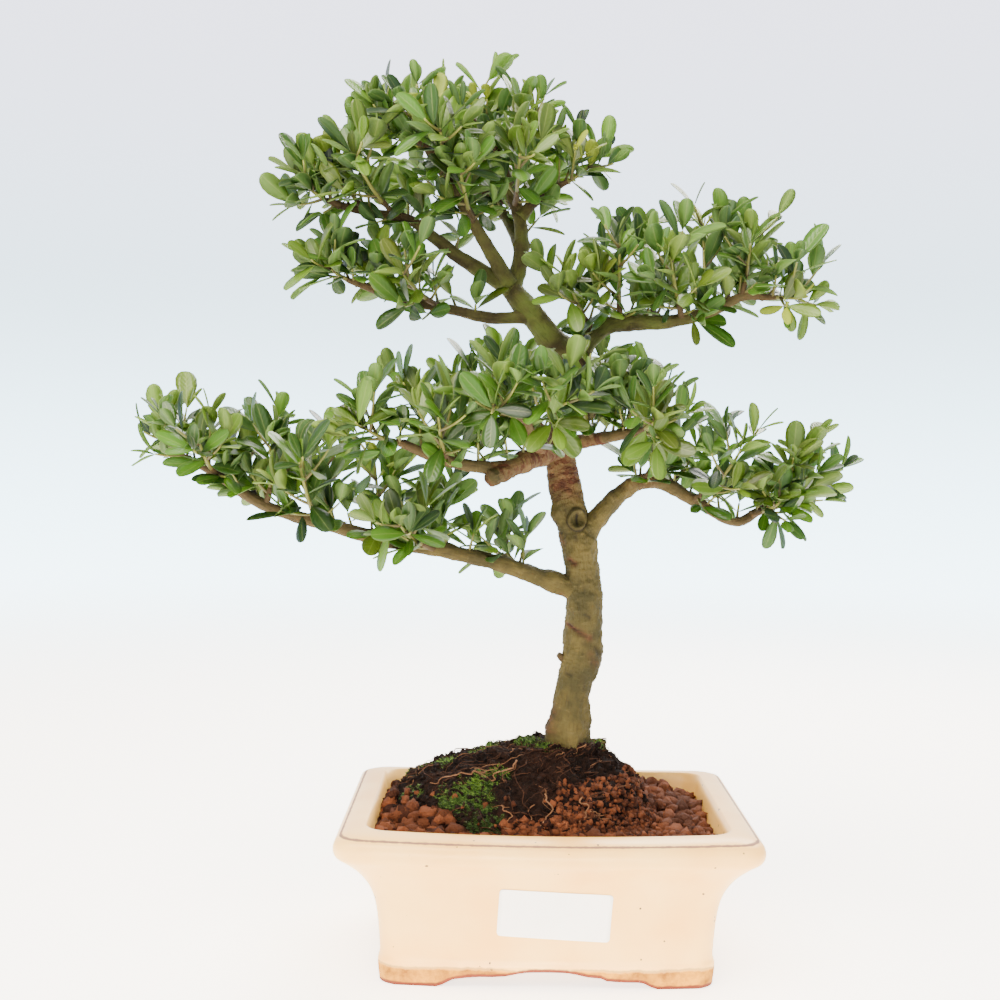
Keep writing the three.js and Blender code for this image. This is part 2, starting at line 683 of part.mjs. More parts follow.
function stemGuard({ path, nodes }, from, grow) {
  const places = [from, ...nodes.map(({ place }) => place)];
  const radii = [nodes[0].radius, ...nodes.map(({ radius }) => radius)];
  return toSolid(tube(places.map((place) => path.getPoint(place)), radii.map((radius) => radius + grow), 6));
}

// A closed skin that grows: any triangle of it can be drawn out into a leaf or a shoot
class Growth {
  constructor(ring) {
    this.points = [...ring];
    this.faces = [];
    this.addFace([0, 2, 1]);
  }

  addFace(corners) {
    const face = { corners, box: new THREE.Box3().setFromPoints(this.cornerPoints(corners)) };
    this.faces.push(face);
    return face;
  }

  cornerPoints(corners) {
    return corners.map((corner) => this.points[corner]);
  }

  open(face) {
    this.faces.splice(this.faces.indexOf(face), 1);
    return face.corners;
  }

  // A band of six triangles from a cap to a new ring of three points, joined the shortest way round.
  // It gives the new cap and, for each side of the band, the triangle that lies along the new ring.
  drawOut(cap, ring) {
    const turn = nearestTurn(this.cornerPoints(cap), ring);
    const first = this.points.length;
    const next = [0, 1, 2].map((k) => first + (k + turn) % 3);
    this.points.push(...ring);
    const upper = [0, 1, 2].map((k) => {
      const [a, b, c, d] = [cap[k], cap[(k + 1) % 3], next[(k + 1) % 3], next[k]];
      const gap = (p, q) => this.points[p].distanceTo(this.points[q]);
      const [low, high] = gap(a, c) < gap(b, d) ? [[a, b, c], [a, c, d]] : [[a, b, d], [b, c, d]];
      this.addFace(low);
      return this.addFace(high);
    });
    return { cap: next, upper };
  }

  // Grows a shoot out of a cap, and its side shoots out of its bands, and notes the faces at each node
  growShoot(cap, shoot, sides) {
    let end = cap;
    shoot.nodes.forEach((node) => {
      const ring = [0, 1, 2].map((k) => node.point.clone()
        .addScaledVector(radialAt(node, node.turn + FACE_TURN + 120 * k), node.radius));
      const band = this.drawOut(end, ring);
      end = band.cap;
      node.faces = band.upper;
      sides.filter((side) => side.from === node).forEach((side) => {
        const face = this.faceTowards(node, side.nodes[0].point.clone().sub(node.point));
        side.grown = this.attempt(face, (opened) => this.growShoot(opened, side, []));
      });
    });
    shoot.end = this.addFace(end);
  }

  // The free face at a node that looks most nearly in a direction
  faceTowards(node, direction) {
    const facing = (face) => {
      const away = middleOf(this.cornerPoints(face.corners)).sub(node.point);
      return away.addScaledVector(node.axis, -away.dot(node.axis)).normalize().dot(direction);
    };
    const free = node.faces.filter((face) => this.faces.includes(face));
    return free.sort((a, b) => facing(b) - facing(a))[0];
  }

  // Grows something out of a face, unless one of its own faces would cut through another
  attempt(face, grow) {
    const before = { points: [...this.points], faces: [...this.faces] };
    grow(this.open(face));
    const fresh = this.faces.filter((other) => !before.faces.includes(other));
    if (!fresh.some((one) => this.faces.some((other) => this.cross(one, other)))) return true;
    Object.assign(this, before);
    return false;
  }

  growLeaf(cap, leaf) {
    let end = cap;
    leafRings(leaf).forEach((ring) => { end = this.drawOut(end, ring).cap; });
    const tip = this.points.push(leafTip(leaf)) - 1;
    end.forEach((corner, k) => this.addFace([corner, end[(k + 1) % 3], tip]));
  }

  cross(one, other) {
    if (one === other || !one.box.intersectsBox(other.box)) return false;
    return this.pierces(one.corners, other.corners) || this.pierces(other.corners, one.corners);
  }

  // Whether an edge of one triangle passes through another triangle that it shares no corner with
  pierces(edges, target) {
    return edges.some((corner, k) => {
      const next = edges[(k + 1) % 3];
      if (target.includes(corner) || target.includes(next)) return false;
      const from = this.points[corner];
      const reach = this.points[next].clone().sub(from);
      const ray = new THREE.Ray(from, reach.clone().normalize());
      const hit = ray.intersectTriangle(...this.cornerPoints(target), false, new THREE.Vector3());
      return hit !== null && hit.distanceTo(from) < reach.length();
    });
  }

  toSolid() {
    return toSolid(meshGeometry(this.points, this.faces.map(({ corners }) => corners)));
  }
}

function overlaps(a, b) {
  const boxA = a.boundingBox();
  const boxB = b.boundingBox();
  const apart = [0, 1, 2].some((k) => boxA.min[k] > boxB.max[k] || boxB.min[k] > boxA.max[k]);
  return !apart && !a.intersect(b).isEmpty();
}

function clearOf(solid, others) {
  return !others.some((other) => overlaps(solid, other));
}

// The shoots of one spray: the middle one, and the first side shoots that are clear of everything else
function sprayShoots(path, spray, taken) {
  const start = TWIG.woodyShare + 2 * GAP / path.getLength();
  const main = makeShoot(path, SHOOT.mainNodes, draw(spray, 0, 11), [SHOOT.foot, SHOOT.top], 0);
  main.start = start;
  main.guard = stemGuard(main, start, 0);
  const sides = [];
  main.nodes.forEach((node, order) => {
    const side = sideShoot(node, spray, order + 1);
    const guard = stemGuard(side, SIDE_SHOOTS.joined, GAP);
    if (sides.length >= SIDE_SHOOTS.kept || !clearOf(guard, [...taken, main.guard])) return;
    sides.push({ ...side, from: node, guard: stemGuard(side, 0, 0) });
  });
  return [main, ...sides];
}

// One spray: its stems first, then the leaves, from the tips down, that are clear of everything else
function growSpray(spray, stems, leaves) {
  const [main, ...sides] = spray.shoots;
  const foot = { point: main.path.getPoint(main.start), turn: main.nodes[0].turn };
  [foot.first, foot.second] = acrossDirections(main.path.getTangent(main.start));
  const growth = new Growth([0, 120, 240].map((degrees) => foot.point.clone()
    .addScaledVector(radialAt(foot, foot.turn + degrees), SHOOT.foot)));
  growth.growShoot([0, 1, 2], main, sides);
  const own = spray.shoots.map(({ guard }) => guard);
  const others = [...stems.filter((solid) => !own.includes(solid)), ...leaves];
  const candidates = [main, ...sides.filter(({ grown }) => grown)].flatMap((shoot) => {
    return shootLeaves(shoot, spray.number).map((leaf) => ({ ...leaf, shoot }));
  });
  candidates.sort((a, b) => a.order - b.order || a.shoot.number - b.shoot.number);
  let kept = 0;
  candidates.forEach((leaf) => {
    const face = leaf.atEnd ? leaf.shoot.end : growth.faceTowards(leaf.node, leaf.radial);
    if (kept >= LEAVES_KEPT || face === undefined) return;
    const corners = growth.cornerPoints(face.corners);
    if (!clearOf(leafGuard(corners, leaf, GAP), others)) return;
    if (!growth.attempt(face, (opened) => growth.growLeaf(opened, leaf))) return;
    leaves.push(leafGuard(corners, leaf, 0));
    kept += 1;
  });
  return growth.toSolid();
}

function growSprays(wood) {
  const sprays = [];
  Object.entries(SPRAYS).forEach(([pad, rows]) => rows.forEach((row, i) => {
    sprays.push({ name: `spray_${pad}_${i + 1}`, number: sprays.length + 1, path: sprayPath(row) });
  }));
  const stems = [wood];
  sprays.forEach((spray) => {
    spray.shoots = sprayShoots(spray.path, spray.number, stems);
    stems.push(...spray.shoots.map(({ guard }) => guard));
  });
  const leaves = [];
  sprays.forEach((spray) => { spray.solid = growSpray(spray, stems, leaves); });
  return sprays;
}

// The wood is one piece: trunk, limbs, twigs, the raised rim of an old cut, and a dead spur
function woodSolid() {
  const limbs = Object.values(LIMBS).map(limbSolid);
  const twigs = Object.values(SPRAYS).flat().map((row) => twigSolid(sprayPath(row)));
  const { radius, depth, tall, at } = SCAR;
  const scar = new THREE.CylinderGeometry(radius.out, radius.in, depth, SCAR.sides);
  scar.scale(1, 1, tall).translate(...at);
  const spur = tube(SPUR.route.map(vector), SPUR.radii, SPUR.sides);
  return wasm.Manifold.union([...limbs, ...twigs, toSolid(scar), toSolid(spur)]);
}

// The finished tree, put together piece by piece

const bonsai = new THREE.Group();

function addPiece(name, solid, finish) {
  const mesh = new THREE.Mesh(toGeometry(solid), finish);
  mesh.name = name;
  bonsai.add(mesh);
}

const screenBox = new THREE.BoxGeometry(2 * SCREEN.x, 2 * SCREEN.y, SCREEN.thick);
const screenSolid = toSolid(screenBox.translate(0, 0, POT_FLOOR.top + GAP + SCREEN.thick / 2));
const wood = woodSolid();

addPiece('pot', potSolid(), FINISHES.glaze);
addPiece('label', labelSolid(), FINISHES.paper);
addPiece('drain_screen', screenSolid, FINISHES.net);
addPiece('akadama_bed', bedSolid(toSolid(ballGeometry(GAP))), FINISHES.akadama);
addPiece('root_ball', toSolid(ballGeometry(0)).subtract(trunkFootHole()), FINISHES.peat);
addPiece('wood', wood, FINISHES.bark);
growSprays(wood).forEach(({ name, solid }) => addPiece(name, solid, FINISHES.leaf));

const bounds = new THREE.Box3().setFromObject(bonsai);
const middle = bounds.getCenter(new THREE.Vector3());
bonsai.position.set(-middle.x, -middle.y, -bounds.min.z);

export default bonsai;
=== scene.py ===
# %% [markdown]
# # A japanese holly bonsai in a cream glazed pot
#
# This file is a lesson in cells. The tree was first drawn as plain solids in a CAD model, and each cell here
# turns some of those solids into surfaces that look like the real plant, or adds what lies on them. All
# lengths are written in millimetres round the middle of the pot's foot, as a grower would measure them, and
# become metres when a mesh is made.

# %% Load the frame
import bpy
import math
import numpy as np
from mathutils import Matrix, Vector


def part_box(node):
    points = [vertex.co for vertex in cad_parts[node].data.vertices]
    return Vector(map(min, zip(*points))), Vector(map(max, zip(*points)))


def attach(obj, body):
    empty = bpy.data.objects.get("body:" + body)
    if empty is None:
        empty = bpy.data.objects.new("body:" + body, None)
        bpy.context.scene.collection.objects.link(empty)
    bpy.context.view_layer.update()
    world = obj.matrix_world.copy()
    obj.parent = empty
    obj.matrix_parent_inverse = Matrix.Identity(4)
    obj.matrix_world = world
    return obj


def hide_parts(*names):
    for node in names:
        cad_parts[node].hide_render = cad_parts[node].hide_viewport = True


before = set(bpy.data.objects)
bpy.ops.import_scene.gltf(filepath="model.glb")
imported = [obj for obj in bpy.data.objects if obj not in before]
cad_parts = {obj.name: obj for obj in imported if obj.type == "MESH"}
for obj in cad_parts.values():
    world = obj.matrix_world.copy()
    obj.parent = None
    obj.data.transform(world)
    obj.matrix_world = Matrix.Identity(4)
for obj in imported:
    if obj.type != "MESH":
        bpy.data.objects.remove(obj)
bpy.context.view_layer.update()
MM = 0.001
pot_low, pot_high = (np.array(corner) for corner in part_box("pot"))
FOOT = np.array([*(pot_low + pot_high)[:2] / 2, 0.0])
print("solids in the frame:", len(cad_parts), "foot of the pot at", FOOT.round(4))

# %% [markdown]
# ## Tools used again and again
#
# A mesh is a list of points and a list of faces. One could place them by hand or with Blender's sculpting
# tools, but plants repeat one idea many times, so here every shape is worked out with numpy as whole arrays
# and put into the mesh in one step. The helpers below make such a mesh, join a grid of points with
# quadrilaterals, and give repeatable random numbers, so that the tree is the same tree at every run.


# %% Make a mesh from arrays
def make_piece(name, points, faces, finishes, stands_for=(), attributes=None, smooth=True):
    """A mesh object from points in millimetres and, for each finish, a list of face arrays.

    attributes maps a name to one number or vector for each point, or to one number for each face corner.
    """
    arrays = [array for group in faces for array in group]
    sizes = np.concatenate([np.full(len(array), array.shape[1]) for array in arrays])
    corners = np.concatenate([array.ravel() for array in arrays])
    starts = np.cumsum(sizes) - sizes
    mesh = bpy.data.meshes.new(name)
    mesh.vertices.add(len(points))
    mesh.vertices.foreach_set("co", (points * MM + FOOT).ravel())
    mesh.loops.add(len(corners))
    mesh.loops.foreach_set("vertex_index", corners.astype(np.int32))
    mesh.polygons.add(len(sizes))
    mesh.polygons.foreach_set("loop_start", starts.astype(np.int32))
    owner = np.concatenate([np.full(len(array), k) for k, group in enumerate(faces) for array in group])
    mesh.polygons.foreach_set("material_index", owner.astype(np.int32))
    mesh.polygons.foreach_set("use_smooth", np.full(len(sizes), smooth))
    mesh.update(calc_edges=True)
    for label, values in (attributes or {}).items():
        domain = "POINT" if len(values) == len(points) else "CORNER"
        kind = "FLOAT_VECTOR" if values.ndim == 2 else "FLOAT"
        layer = mesh.attributes.new(label, kind, domain)
        layer.data.foreach_set("vector" if values.ndim == 2 else "value", values.astype(np.float32).ravel())
    for finish in finishes:
        mesh.materials.append(finish)
    piece = bpy.data.objects.new(name, mesh)
    bpy.context.scene.collection.objects.link(piece)
    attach(piece, "root")
    if stands_for:
        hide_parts(*stands_for)
    return piece


def grid_faces(rows, columns, wrap=True):
    """Quadrilaterals between neighbouring rows of a grid. Where wrap is true the last column meets the first
    one."""
    here = np.arange(columns if wrap else columns - 1)[None, :]
    there = (here + 1) % columns
    row = np.arange(rows - 1)[:, None] * columns
    next_row = row + columns
    return np.stack([row + here, row + there, next_row + there, next_row + here], -1).reshape(-1, 4)


def grid_caps(rows, columns):
    """The two faces that close a wrapped grid: its first row turned round, and its last row."""
    first_row = np.arange(columns)
    return [first_row[::-1][None, :], (first_row + (rows - 1) * columns)[None, :]]


DRAW_MIX = (12.9898, 78.233, 37.719)
DRAW_MULTIPLE = 43758.5453


def draw(a, b, c):
    """A repeatable number from 0 to 1: the fraction left of a large multiple of the sine of a mix of
    a, b and c."""
    wave = np.sin(a * DRAW_MIX[0] + b * DRAW_MIX[1] + c * DRAW_MIX[2]) * DRAW_MULTIPLE
    return wave - np.floor(wave)


def lumps(points, size, seed, waves=7):
    """Soft lumps of about a given size from -1 to 1: the mean of sine waves in random directions, doubled."""
    random = np.random.default_rng(seed)
    directions = random.normal(size=(3, waves))
    directions *= 2 * np.pi / (size * np.linalg.norm(directions, axis=0)) * random.uniform(0.7, 1.6, waves)
    phases = random.uniform(0, 2 * np.pi, waves)
    return np.clip(2 * np.sin(points @ directions + phases).mean(-1), -1, 1)


def smooth_path(rows, steps):
    """A curve through the rows. Between two rows it is a cubic whose slope at each end is half the step
    between that row's neighbours."""
    rows = np.array(rows, float)
    ends = np.vstack([2 * rows[0] - rows[1], rows, 2 * rows[-1] - rows[-2]])
    place = np.linspace(0, len(rows) - 1, (len(rows) - 1) * steps + 1)
    i = np.minimum(place.astype(int), len(rows) - 2)
    f = (place - i)[:, None]
    a, b, c, d = ends[i], ends[i + 1], ends[i + 2], ends[i + 3]
    square, third = 2 * a - 5 * b + 4 * c - d, 3 * b - a - 3 * c + d
    return 0.5 * (2 * b + (c - a) * f + square * f ** 2 + third * f ** 3)


def unit(vectors):
    """The same directions with length one."""
    return vectors / np.maximum(np.linalg.norm(vectors, axis=-1, keepdims=True), 1e-9)


RING_START = np.array([0.3, -1, 0.2])
NEARLY_PARALLEL = 0.93


def rings_along(path, sides):
    """The directions of a ring of points round each point of a path: cosine times one direction square to the
    path plus sine times the other. Gives them as (points, sides, 3) and the angles as (sides,)."""
    along = unit(np.gradient(path, axis=0))
    reference = RING_START
    if np.abs(along @ unit(reference)).max() > NEARLY_PARALLEL:
        reference = np.eye(3)[np.abs(along).max(0).argmin()]
    side = unit(reference - (along @ reference)[:, None] * along)
    other = np.cross(along, side)
    angles = 2 * np.pi * np.arange(sides) / sides
    round_it = side[:, None] * np.cos(angles)[:, None] + other[:, None] * np.sin(angles)[:, None]
    return round_it, angles


def tube(path, radii, sides):
    """Points and faces of a round tube along a path, closed by a point at each end."""
    round_it, _ = rings_along(path, sides)
    skin = (path[:, None] + round_it * np.asarray(radii)[:, None, None]).reshape(-1, 3)
    points = np.vstack([skin, path[:1], path[-1:]])
    ring = np.arange(sides)
    last = len(skin) - sides
    low_cap = np.stack([np.full(sides, len(skin)), (ring + 1) % sides, ring], -1)
    top_cap = np.stack([np.full(sides, len(skin) + 1), last + ring, last + (ring + 1) % sides], -1)
    return points, grid_faces(len(path), sides), np.vstack([low_cap, top_cap])


class Parts:
    """Gathers tubes and other small shapes that belong in one mesh."""

    def __init__(self):
        self.points, self.quads, self.triangles, self.values, self.count = [], [], [], [], 0

    def add(self, points, quads, triangles, **values):
        self.points.append(points)
        self.quads.append(quads + self.count)
        self.triangles.append(triangles + self.count)
        self.values.append({key: np.broadcast_to(value, (len(points), *np.shape(value)[1:]))
                            for key, value in values.items()})
        self.count += len(points)

    def result(self):
        values = {key: np.concatenate([part[key] for part in self.values]) for key in self.values[0]}
        return np.vstack(self.points), [np.vstack(self.quads), np.vstack(self.triangles)], values


# %% [markdown]
# ## Tools for materials
#
# A finish in Blender is a small network of nodes. Its colours are given as hex values, which are in
# sRGB, so one function turns them into the linear numbers that the shader needs. A pattern's scale says how
# often it repeats in a metre, which another function works out from the size of one grain or patch. A third
# one adds a node with its settings and its links, which keeps each finish short enough to read. Some of
# Blender's sockets share a name, so they are given by number: a Mix node blends its input 6 into its input 7
# by its input 0, and a Map Range node turns the range from 1 to 2 into the range from 3 to 4.


# %% Colours and nodes
def linear(colour):
    """sRGB hex to linear: a channel up to 0.04045 is divided by 12.92, above that
    ((c + 0.055) / 1.055) ^ 2.4."""
    srgb = np.array([int(colour[i:i + 2], 16) for i in (1, 3, 5)]) / 255
    values = np.where(srgb <= 0.04045, srgb / 12.92, ((srgb + 0.055) / 1.055) ** 2.4)
    return (*values.tolist(), 1.0)


def per_metre(size):
    """The scale of a pattern whose grains are so many millimetres wide: 1000 over the size, to two digits."""
    return float(f"{1 / (size * MM):.2g}")


def add(tree, kind, inputs=None, **settings):
    """Adds a node. inputs maps a socket's name or number to a value or to the output that feeds it."""
    node = tree.nodes.new(kind)
    for key, value in settings.items():
        setattr(node, key, value)
    for key, value in (inputs or {}).items():
        if isinstance(value, bpy.types.NodeSocket):
            tree.links.new(value, node.inputs[key])
        else:
            node.inputs[key].default_value = value
    return node


def new_finish(name):
    """An empty material with its output node: gives the material, its tree and its output."""
    finish = bpy.data.materials.new(name)
    finish.use_nodes = True
    finish.node_tree.nodes.clear()
    return finish, finish.node_tree, add(finish.node_tree, "ShaderNodeOutputMaterial")


# %% [markdown]
# ## Camera
#
# The camera stands where the photographer stood: about 68 cm in front of the pot's middle, a little to the
# left, and looking down by two and a half degrees. The pot's rim and the 5 cm sticker gave that distance. A
# longer lens from farther off would flatten the tree, so the place was found first and the lens after it.

# %% Camera
LENS = 51.9
CAMERA_AT = np.array([-24, -684.5, 241.5])
LOOKS_DOWN = math.radians(2.5)
ROLL = math.radians(-0.8)
camera_data = bpy.data.cameras.new("camera")
camera_data.lens = LENS
camera_data.sensor_width = 36
camera_data.clip_start = 0.01
camera_data.shift_y = 0.005
camera = bpy.data.objects.new("camera", camera_data)
bpy.context.scene.collection.objects.link(camera)
camera.location = CAMERA_AT * MM + FOOT
camera.rotation_mode = "XYZ"
camera.rotation_euler = (math.pi / 2 - LOOKS_DOWN, ROLL, 0)
bpy.context.scene.camera = camera
print("camera at", np.array(camera.location).round(3))

# %% [markdown]
# ## Light and floor
#
# The photo was taken against a bright, nearly white ground, with soft light from all round and a little more
# from above. Many leaves are lit from behind and glow. A pale world gives the light from all round, brighter
# on the side of the backdrop and brightest low behind the pot. Wide lamps above, behind and in front give the
# leaves their gloss and their glow, and a low, narrow lamp lights the pot's front alone. The floor is a pale
# disc that glows a little, as a light table does, and fades into the world, so that no horizon shows.

# %% World
WORLD = {"low": "#fffbf2", "middle": "#c4e2f0", "high": "#d4d6e6"}
WORLD_STRENGTH = {"room": 1.6, "backdrop": 4.5, "low_gain": 2.0}
world = bpy.data.worlds.new("pale_studio")
bpy.context.scene.world = world
world.use_nodes = True
sky = world.node_tree
sky.nodes.clear()
direction = add(sky, "ShaderNodeSeparateXYZ", {0: add(sky, "ShaderNodeTexCoord").outputs["Generated"]})
lower = add(sky, "ShaderNodeMapRange", {0: direction.outputs["Z"], 1: -0.35, 2: -0.02},
            interpolation_type="SMOOTHSTEP")
upper = add(sky, "ShaderNodeMapRange", {0: direction.outputs["Z"], 1: 0.0, 2: 0.3},
            interpolation_type="SMOOTHSTEP")
ground_to_air = add(sky, "ShaderNodeMix",
                    {0: lower.outputs[0], 6: linear(WORLD["low"]), 7: linear(WORLD["middle"])},
                    data_type="RGBA")
air = add(sky, "ShaderNodeMix",
          {0: upper.outputs[0], 6: ground_to_air.outputs[2], 7: linear(WORLD["high"])},
          data_type="RGBA")
backdrop = add(sky, "ShaderNodeMapRange",
               {0: direction.outputs["Y"], 1: 0.3, 2: 0.85, 3: WORLD_STRENGTH["room"],
                4: WORLD_STRENGTH["backdrop"]},
               interpolation_type="SMOOTHSTEP")
low_gain = add(sky, "ShaderNodeMapRange",
               {0: direction.outputs["Z"], 1: 0.12, 2: -0.1, 3: 1.0, 4: WORLD_STRENGTH["low_gain"]},
               interpolation_type="SMOOTHSTEP")
strength = add(sky, "ShaderNodeMath", {0: backdrop.outputs[0], 1: low_gain.outputs[0]}, operation="MULTIPLY")
background = add(sky, "ShaderNodeBackground", {"Color": air.outputs[2], "Strength": strength.outputs[0]})
add(sky, "ShaderNodeOutputWorld", {"Surface": background.outputs[0]})

# %% Lamps
TREE_MIDDLE = (0.0, 0.0, 0.2)
POT_FRONT = (0.0, -0.06, -0.02)
LAMPS = [
    ("lamp_above", (-0.35, -0.55, 1.15), TREE_MIDDLE, 44.0, "#fff4e2", {"shape": "DISK", "size": 0.9}),
    ("lamp_behind", (0.35, 0.75, 0.95), TREE_MIDDLE, 36.0, "#fffaf0", {"shape": "DISK", "size": 0.8}),
    ("lamp_front", (-0.5, -1.3, 0.45), TREE_MIDDLE, 8.0, "#fff4e4", {"shape": "DISK", "size": 1.0}),
    ("lamp_low", (0.0, -0.52, 0.06), POT_FRONT, 0.62, "#fff0dc",
     {"shape": "RECTANGLE", "size": 0.5, "size_y": 0.05, "spread": math.radians(34)}),
]
for name, at, towards, watts, colour, settings in LAMPS:
    lamp_data = bpy.data.lights.new(name, "AREA")
    for key, value in settings.items():
        setattr(lamp_data, key, value)
    lamp_data.energy = watts
    lamp_data.color = linear(colour)[:3]
    lamp = bpy.data.objects.new(name, lamp_data)
    bpy.context.scene.collection.objects.link(lamp)
    lamp.location = at
    lamp.rotation_mode = "QUATERNION"
    lamp.rotation_quaternion = Vector(np.array(towards) - np.array(at)).to_track_quat("-Z", "Y")
print("lamps:", len(LAMPS))

# %% Floor
FLOOR_RADIUS, FLOOR_SIDES = 2.2, 96
FADE_FROM, FADE_TO = 0.45, 2.0
floor_finish, tree, output = new_finish("pale_floor")
where = add(tree, "ShaderNodeTexCoord").outputs["Object"]
reach = add(tree, "ShaderNodeVectorMath", {0: where}, operation="LENGTH")
fade = add(tree, "ShaderNodeMapRange", {0: reach.outputs["Value"], 1: FADE_FROM, 2: FADE_TO},
           interpolation_type="SMOOTHSTEP")
cloth = add(tree, "ShaderNodeBsdfDiffuse", {"Color": linear("#faf6ef")})
table = add(tree, "ShaderNodeEmission", {"Color": linear("#fff8ec"), "Strength": 3.0})
lit_cloth = add(tree, "ShaderNodeAddShader", {0: cloth.outputs[0], 1: table.outputs[0]})
clear = add(tree, "ShaderNodeBsdfTransparent")
mixed = add(tree, "ShaderNodeMixShader", {0: fade.outputs[0], 1: lit_cloth.outputs[0], 2: clear.outputs[0]})
tree.links.new(mixed.outputs[0], output.inputs["Surface"])
floor_mesh = bpy.data.meshes.new("floor")
turns = 2 * np.pi * np.arange(FLOOR_SIDES) / FLOOR_SIDES
rim = FLOOR_RADIUS * np.stack([np.cos(turns), np.sin(turns), np.zeros(FLOOR_SIDES)], -1)
floor_mesh.from_pydata(rim, [], [list(range(FLOOR_SIDES))])
floor_mesh.materials.append(floor_finish)
floor = bpy.data.objects.new("floor", floor_mesh)
bpy.context.scene.collection.objects.link(floor)

# %% [markdown]
# ## The pot's shape
#
# The pot is one piece of glazed stoneware, pressed or cast in a mould: a rectangle with rounded corners whose
# long walls bulge a little, a wall that flares out near the top, a lip that rolls over, and four corner feet
# left by shallow arches. A box with bevels would lose the bulge. Instead one outline, seen from above, is
# carried up a profile: each ring of the mesh is the outline pushed outwards by what the profile says. The
# arches lift the lower edge, by a height that is looked up from the distance to the wall's middle.

# %% Pot outline and profile
FOOT_HALF = np.array([75.0, 53.0])
POT_BOW = 4.0
CORNER_RADIUS = 9.0
FLOOR_UNDER = 7.6
OUTER_WALL = [
    (0.0, 0.0), (9, 0.8), (14, 0), (32, 1.5), (42, 4), (50, 8.5), (56, 14), (60, 18.3), (64, 19.5),
    (67.5, 18.6), (69.3, 16.5),
]
LIP = [(69.3, 16.5), (70.4, 13.5), (71, 9), (71, 6)]
INNER_WALL = [(71, 6), (66, 5), (50, 1.5), (13, -6)]
FOOT_INSIDE = [(-9, FLOOR_UNDER), (-9, 1.2), (-8, 0.0), (-1.2, 0.0), (-0.3, 0.3)]
FRONT_ARCH = [
    (0, 7.6), (8, 7.4), (12, 6.9), (18, 5.5), (30, 4.5), (42, 3.4), (45, 2.2), (47.5, 0),
]
SIDE_ARCH = [(0, 5.6), (14, 5.3), (22, 4), (26, 2.4), (28.5, 0)]
ARCH_UNEVEN, UNEVEN_UNDER = 0.35, 5.0
ARCH_REACH = 9.0
SAG_FROM, SAG_OVER = 58.0, 6.0
ARC_STEPS, LONG_STEPS, SHORT_STEPS = 8, 46, 30

corner_angles = np.linspace(0, np.pi / 2, ARC_STEPS + 1)
outline = []
for corner, (sign_x, sign_y) in enumerate([(1, 1), (-1, 1), (-1, -1), (1, -1)]):
    arc = corner_angles + corner * np.pi / 2
    corner_x, corner_y = np.full_like(arc, sign_x), np.full_like(arc, sign_y)
    outline.append(np.stack([corner_x, corner_y, np.cos(arc), np.sin(arc)], -1))
    long_side = corner % 2 == 0
    share = np.linspace(1, -1, (LONG_STEPS if long_side else SHORT_STEPS) + 2)[1:-1]
    side_x, side_y, still = np.full_like(share, sign_x), np.full_like(share, sign_y), np.zeros_like(share)
    rows = [sign_x * share, side_y, still, side_y] if long_side else [side_x, sign_y * share, side_x, still]
    outline.append(np.stack(rows, -1))
outline = np.vstack(outline)
COLUMNS = len(outline)


def pot_ring(offset, height):
    """The outline at an outward offset from the foot: straight sides between rounded corners, and long sides
    that bulge like a parabola, by the most at their middle. The rim's long sides sag by a millimetre."""
    half = FOOT_HALF + offset
    straight = half - CORNER_RADIUS
    x = outline[:, 0] * straight[0] + CORNER_RADIUS * outline[:, 2]
    y = outline[:, 1] * straight[1] + CORNER_RADIUS * outline[:, 3]
    middle = 1 - (x / half[0]) ** 2
    sag = np.clip((height - SAG_FROM) / SAG_OVER, 0, 1) * middle
    return np.stack([x, y + np.sign(y) * POT_BOW * middle, np.full_like(x, height) - sag], -1)


def arch_height(ring):
    """How far the foot's lower edge is lifted: a height looked up from the distance to the side's middle,
    times one plus lumps of 40 mm where the arch is low, since it was cut by hand."""
    on_long = np.abs(outline[:, 3]) > np.abs(outline[:, 2])
    front, side = np.array(FRONT_ARCH).T, np.array(SIDE_ARCH).T
    lift = np.where(on_long, np.interp(np.abs(ring[:, 0]), *front), np.interp(np.abs(ring[:, 1]), *side))
    return lift * (1 + ARCH_UNEVEN * lumps(ring, 40, 5) * (lift < UNEVEN_UNDER))


profile = smooth_path(OUTER_WALL, 4)
lip = smooth_path(LIP, 3)[1:]
inside = np.array(INNER_WALL, float)[1:]
lift = arch_height(pot_ring(0, 0))
wall_rings = []
for height, offset in profile:
    ring = pot_ring(offset, height)
    ring[:, 2] = np.where(height < ARCH_REACH, lift + height * (ARCH_REACH - lift) / ARCH_REACH, ring[:, 2])
    wall_rings.append(ring)
wall_rings += [pot_ring(offset, height) for height, offset in [*lip, *inside]]
foot_rings = []
for offset, height in FOOT_INSIDE:
    ring = pot_ring(offset, height)
    ring[:, 2] = height if height == FLOOR_UNDER else np.maximum(height, lift + height * 0.01)
    foot_rings.append(ring)
pot_points = np.vstack([*foot_rings, *wall_rings])
ring_count = len(foot_rings) + len(wall_rings)
print("pot: rings", ring_count, "columns", COLUMNS)

# %% [markdown]
# ## The pot's finish
#
# Cream glazed stoneware: a glassy coat over a buff body, so it reflects softly and its colour is a little
# uneven, in clouds about 36 mm wide, with brown iron specks of one to two millimetres. The specks are cells
# of a Voronoi pattern, 4 mm apart, and only some of them are filled.

